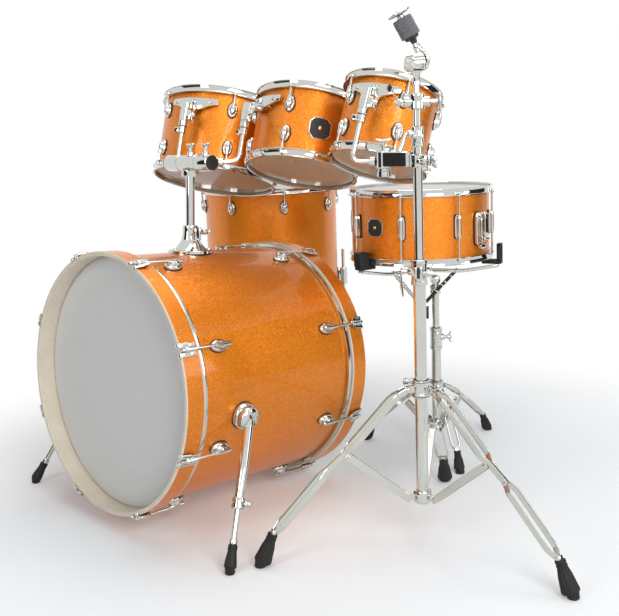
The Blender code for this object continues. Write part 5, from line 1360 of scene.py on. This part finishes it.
def snare_basket():
    """The basket: ratchet disc and neck, centre casting, three channel arms
    with braces and grips, and handle."""
    piece = Piece("snare_basket_chrome", "snare_basket", "chrome", "snare_basket")
    joint = Vector((SNARE_BASE.x, SNARE_BASE.y, JOINT_HEIGHT))
    centre = Vector((SNARE_CENTRE.x, SNARE_CENTRE.y, BASKET_HEIGHT))
    disc = [(0, 0.0130), (0.0028, 0.0130), (0.0040, 0.0120), (0.0125, 0.0118), (0.0140, 0.0100)]
    piece.spindle(joint, joint + SNARE_SIDE * 0.014, disc, CHROME, KIT, 96,
                  knurled(0.0006, 30, 1, 2))
    neck = [(0, 0.0070), (0.008, 0.0065), ((centre - joint).length, 0.0065)]
    piece.spindle(joint + SNARE_SIDE * 0.0072, centre + SNARE_SIDE * 0.0072, neck, CHROME, KIT, 28)
    place = KIT @ at(*centre)
    hub_cast = [(0, 0.0130), (0.0020, 0.0160), (0.0080, 0.0225), (0.0110, 0.0235), (0.0180, 0.0235),
                (0.0215, 0.0215), (0.0220, 0.0100)]
    piece.spindle((0, 0, -0.012), (0, 0, 0.010), hub_cast, CHROME, place, 64)
    piece.rod((0, 0, 0.0095), (0, 0, 0.0150), 0.0058, CHROME, place, 6)
    piece.rod((0, 0, -0.098), (0, 0, -0.010), 0.0050, CHROME, place, 28)
    collar = [(0, 0.0085), (0.0015, 0.0112), (0.0100, 0.0120), (0.0180, 0.0112), (0.0195, 0.0085)]
    piece.spindle((0, 0, -0.100), (0, 0, -0.0805), collar, CHROME, place, 40)
    grip = SNARE.radius + 0.0082
    low_edge = SNARE_CENTRE.z - SNARE.edge - HOOP_RISE - BASKET_HEIGHT
    for degrees in BASKET_ANGLES:
        spoke = place @ turn(degrees)
        route = rounded([(0.012, 0, 0), (0.116, 0, 0.001), (grip + 0.020, 0, low_edge - 0.0140)], 0.024, 8)
        width = graded(route, [0, 0.5, 1], [1.15, 1.0, 0.95])
        piece.carried(evenly(route, len(route)), oval(0.0170, 0.0034, 28, 5.0), (0, 1, 0), CHROME,
                      spoke, width)
        for edge in (-1, 1):
            flange = evenly(route, len(route)) + (0, edge * 0.0078, -0.0034)
            piece.carried(flange, oval(0.0022, 0.0072, 16, 4.0), (0, 1, 0), CHROME, spoke)
        rod_skin = PLASTIC if degrees == BASKET_ANGLES[0] else CHROME
        outer, inner = Vector((0.098, 0, 0.002)), Vector((0.013, 0, -0.0880))
        piece.rod(outer, inner, 0.0046, rod_skin, spoke, 20)
        for share in (0.18, 0.36, 0.46, 0.64):
            piece.spindle(outer.lerp(inner, share), outer.lerp(inner, share + 0.035),
                          [(0, 0.0048), (0.0008, 0.0054), (0.0034, 0.0054), (0.0042, 0.0048)],
                          CHROME, spoke, 24)
        rivet(piece, spoke @ at(0.096, 0, -0.001), 0.0078, 0.0040)
        rivet(piece, spoke @ at(0.013, 0, -0.0890), 0.0056, 0.0038)
        seat = spoke @ at(grip + 0.0040, 0, low_edge - 0.0070)
        piece.block((0.0500, 0.0250, 0.0110), seat, RUBBER, 0.0026, 3)
        if degrees == BASKET_ANGLES[2]:
            piece.block((0.0330, 0.0255, 0.0360), spoke @ at(grip + 0.0150, 0, low_edge + 0.0140),
                        RUBBER, 0.0030, 3)
        else:
            upright = spoke @ at(grip + 0.0230, 0, low_edge + 0.0160)
            for edge in (-1, 1):
                piece.block((0.0110, 0.0060, 0.0480), upright @ at(0, edge * 0.0095, 0), RUBBER, 0.0018, 3)
            for height in (-0.0180, 0.0195):
                piece.block((0.0110, 0.0250, 0.0090), upright @ at(0, 0, height), RUBBER, 0.0018, 3)
    handle = place @ turn(44) @ at(0.0135, 0, -0.118)
    piece.block((0.0200, 0.0050, 0.0050), handle @ at(-0.006, 0, 0.0180), CHROME, 0.0010)
    piece.block((0.0105, 0.0062, 0.0350), handle, PLASTIC, 0.0018, 3)
    piece.finish()


def throw_off_lever():
    """The strainer's lever: a barrel on its pivot and a flat handle with a rolled end."""
    piece = Piece("snare_throw_off_lever_chrome", "snare_throw_off", "chrome", "snare_throw_off_lever")
    place = SNARE.place @ around(0, SNARE.radius + 0.0255, -0.035)
    piece.rod((0, -0.010, 0), (0, 0.010, 0), 0.0042, CHROME, place, 28)
    path = rounded([(0.0, 0, 0.002), (0.0012, 0, 0.020), (0.0005, 0, 0.052), (0.0022, 0, 0.064)], 0.010, 8)
    width = graded(path, [0, 0.3, 0.85, 1], [0.80, 0.92, 1.0, 0.75])
    piece.carried(path, oval(0.0160, 0.0040, 24, 4.0), (0, 1, 0), CHROME, place, width)
    piece.finish()


for leg_number in (1, 2, 3):
    for tripod in (CYMBAL_FEET, SNARE_FEET):
        tripod_leg(tripod, leg_number)
        tripod_brace(tripod, leg_number)
tripod_collar(CYMBAL_FEET)
tripod_collar(SNARE_FEET)
cymbal_stand()
cymbal_tilter()
small_tom_clamp()
snare_stand()
snare_basket()
throw_off_lever()


# The camera: its azimuth, elevation and roll in degrees, its place, its lens and frame in the photo's
# pixels, and its shift as a share of the frame
CAMERA_ANGLES = (44.2138, 8.9174, -1.9485)
CAMERA_PLACE = (1.6835, -1.5995, 0.8521)
CAMERA_SHIFT = (-0.0071, -0.0498)
FOCAL_PIXELS = 906.55
FRAME_PIXELS = 619.0
SENSOR_WIDTH = 36.0

# The floor: half its width, the distances between which it fades into plain light, and the light it gives
# itself
FLOOR_REACH = 9.0
FLOOR_FADE = (0.60, 1.35)
FLOOR_LIFT = 0.12

FLAGS = (("studio_flag_left", (-1.05, -3.20), -108, 3.2), ("studio_flag_right", (2.3, 2.9), 52, 2.6))
FLAG_HEIGHT = 2.6

WALL_GREYS = ((-180, 0.04), (-112, 0.03), (-80, 0.03), (-72, 0.30), (-46, 0.55), (-38, 0.80), (8, 0.80),
              (16, 0.24), (104, 0.28), (118, 0.70), (156, 0.65), (170, 0.05))
LEVEL_GREYS = ((0.00, 0.30), (0.03, 1.0), (0.45, 1.0), (0.62, 0.55), (1.00, 0.60))
ROOM_STRENGTH = 0.80

# Lamps: name, place, target, width, height and power
LAMPS = (
    ("key_softbox", (2.85, -1.25, 1.75), (0, 0, 0.45), 1.5, 1.5, 50),
    ("front_softbox", (0.15, -3.0, 1.7), (0, 0, 0.45), 0.8, 1.8, 20),
    ("right_softbox", (2.7, 1.5, 1.6), (0, 0, 0.5), 0.5, 2.0, 12),
    ("top_softbox", (0.1, 0.3, 3.3), (0, 0, 0.3), 2.6, 2.2, 46),
)


def add_light(name, location, target, width, height, power):
    data = bpy.data.lights.new(name, "AREA")
    data.shape = "RECTANGLE"
    data.size, data.size_y = width, height
    data.energy = power
    light = bpy.data.objects.new(name, data)
    bpy.context.scene.collection.objects.link(light)
    line = Vector(location) - Vector(target)
    light.matrix_world = at(*location) @ line.to_track_quat("Z", "Y").to_matrix().to_4x4()


def seen_directly(tree):
    """1 for rays from the camera, through clear film or off chrome, so
    that those all meet the same white."""
    rays = add_node(tree, "ShaderNodeLightPath")
    first = calculated(tree, "MAXIMUM", rays.outputs["Is Camera Ray"], rays.outputs["Is Transmission Ray"])
    return calculated(tree, "MAXIMUM", first, rays.outputs["Is Glossy Ray"])


def floor_paint():
    material, tree, shader = new_material("studio_floor_paint")
    set_inputs(shader, {"Base Color": (0.80, 0.84, 0.87, 1.0), "Roughness": 0.7,
                        "Emission Color": (1, 1, 1, 1)})
    place = add_node(tree, "ShaderNodeTexCoord")
    distance = add_node(tree, "ShaderNodeVectorMath", operation="LENGTH")
    tree.links.new(place.outputs["Object"], distance.inputs[0])
    fade = add_node(tree, "ShaderNodeMapRange", interpolation_type="SMOOTHSTEP")
    set_inputs(fade, {"From Min": FLOOR_FADE[0], "From Max": FLOOR_FADE[1]})
    tree.links.new(distance.outputs["Value"], fade.inputs["Value"])
    seen = seen_directly(tree)
    tree.links.new(calculated(tree, "MULTIPLY", seen, FLOOR_LIFT), shader.inputs["Emission Strength"])
    share = calculated(tree, "MULTIPLY", fade.outputs["Result"], seen)
    white = add_node(tree, "ShaderNodeEmission", Color=(1, 1, 1, 1), Strength=1.0)
    result = mixed(tree, share, shader.outputs["BSDF"], white.outputs["Emission"])
    tree.links.new(result, tree.nodes["Material Output"].inputs["Surface"])
    return material


def add_card(name, corners, material, place=LEVEL):
    """A flat card of the studio, which is no part of the object."""
    mesh = bpy.data.meshes.new(name)
    mesh.from_pydata(corners, [], [(0, 1, 2, 3)])
    mesh.materials.append(material)
    obj = bpy.data.objects.new(name, mesh)
    obj.matrix_world = place
    bpy.context.scene.collection.objects.link(obj)
    return obj


def studio_room():
    """A room of grey walls that only the lighting meets, while what is seen directly is white."""
    world = bpy.data.worlds.new("studio")
    bpy.context.scene.world = world
    world.use_nodes = True
    tree = world.node_tree
    shown = tree.nodes["Background"]
    set_inputs(shown, {"Color": (1, 1, 1, 1), "Strength": 1.0})
    place = add_node(tree, "ShaderNodeTexCoord")
    split = add_node(tree, "ShaderNodeSeparateXYZ")
    tree.links.new(place.outputs["Generated"], split.inputs["Vector"])
    angle = calculated(tree, "ARCTAN2", split.outputs["Y"], split.outputs["X"])
    round_share = add_node(tree, "ShaderNodeMapRange")
    set_inputs(round_share, {"From Min": -math.pi, "From Max": math.pi})
    tree.links.new(angle, round_share.inputs["Value"])
    walls = ramp(tree, round_share.outputs["Result"],
                 [((degrees + 180.0) / 360.0, (grey, grey, grey)) for degrees, grey in WALL_GREYS])
    level = ramp(tree, split.outputs["Z"], [(height, (grey, grey, grey)) for height, grey in LEVEL_GREYS])
    tint = add_node(tree, "ShaderNodeMix", data_type="RGBA", blend_type="MULTIPLY")
    tint.inputs["Factor"].default_value = 1.0
    tree.links.new(walls, tint.inputs["A"])
    tree.links.new(level, tint.inputs["B"])
    room = add_node(tree, "ShaderNodeBackground", Strength=ROOM_STRENGTH)
    tree.links.new(tint.outputs["Result"], room.inputs["Color"])
    result = mixed(tree, seen_directly(tree), room.outputs["Background"], shown.outputs["Background"])
    tree.links.new(result, tree.nodes["World Output"].inputs["Surface"])


def studio():
    """The floor, the dark flags, the room and the lamps."""
    reach = FLOOR_REACH
    add_card("studio_floor", [(-reach, -reach, 0), (reach, -reach, 0), (reach, reach, 0),
                              (-reach, reach, 0)], floor_paint())
    cloth = grained("studio_flag_cloth", (0.03, 0.03, 0.03), (0.04, 0.04, 0.04), 0.9, 60.0, 0.1)
    for name, (x, y), facing, width in FLAGS:
        half = width / 2
        corners = [(0, -half, 0), (0, half, 0), (0, half, FLAG_HEIGHT), (0, -half, FLAG_HEIGHT)]
        flag = add_card(name, corners, cloth, at(x, y, 0) @ turn(facing))
        flag.visible_camera = False
        flag.visible_diffuse = False
        flag.visible_shadow = False
    studio_room()
    for lamp in LAMPS:
        add_light(*lamp)


def add_camera():
    """The photographer's camera, as solved from points of the photo."""
    azimuth, elevation, roll = (math.radians(angle) for angle in CAMERA_ANGLES)
    back = Vector((math.sin(azimuth) * math.cos(elevation), -math.cos(azimuth) * math.cos(elevation),
                   math.sin(elevation)))
    level = Vector((math.cos(azimuth), math.sin(azimuth), 0))
    up = back.cross(level)
    right = level * math.cos(roll) + up * math.sin(roll)
    top = up * math.cos(roll) - level * math.sin(roll)
    data = bpy.data.cameras.new("photo_camera")
    data.sensor_width = SENSOR_WIDTH
    data.lens = FOCAL_PIXELS * SENSOR_WIDTH / FRAME_PIXELS
    data.shift_x, data.shift_y = CAMERA_SHIFT
    camera = bpy.data.objects.new("photo_camera", data)
    bpy.context.scene.collection.objects.link(camera)
    camera.matrix_world = KIT @ at(*CAMERA_PLACE) @ Matrix((right, top, back)).transposed().to_4x4()
    bpy.context.scene.camera = camera


studio()
add_camera()
bpy.context.scene.view_settings.view_transform = "Standard"
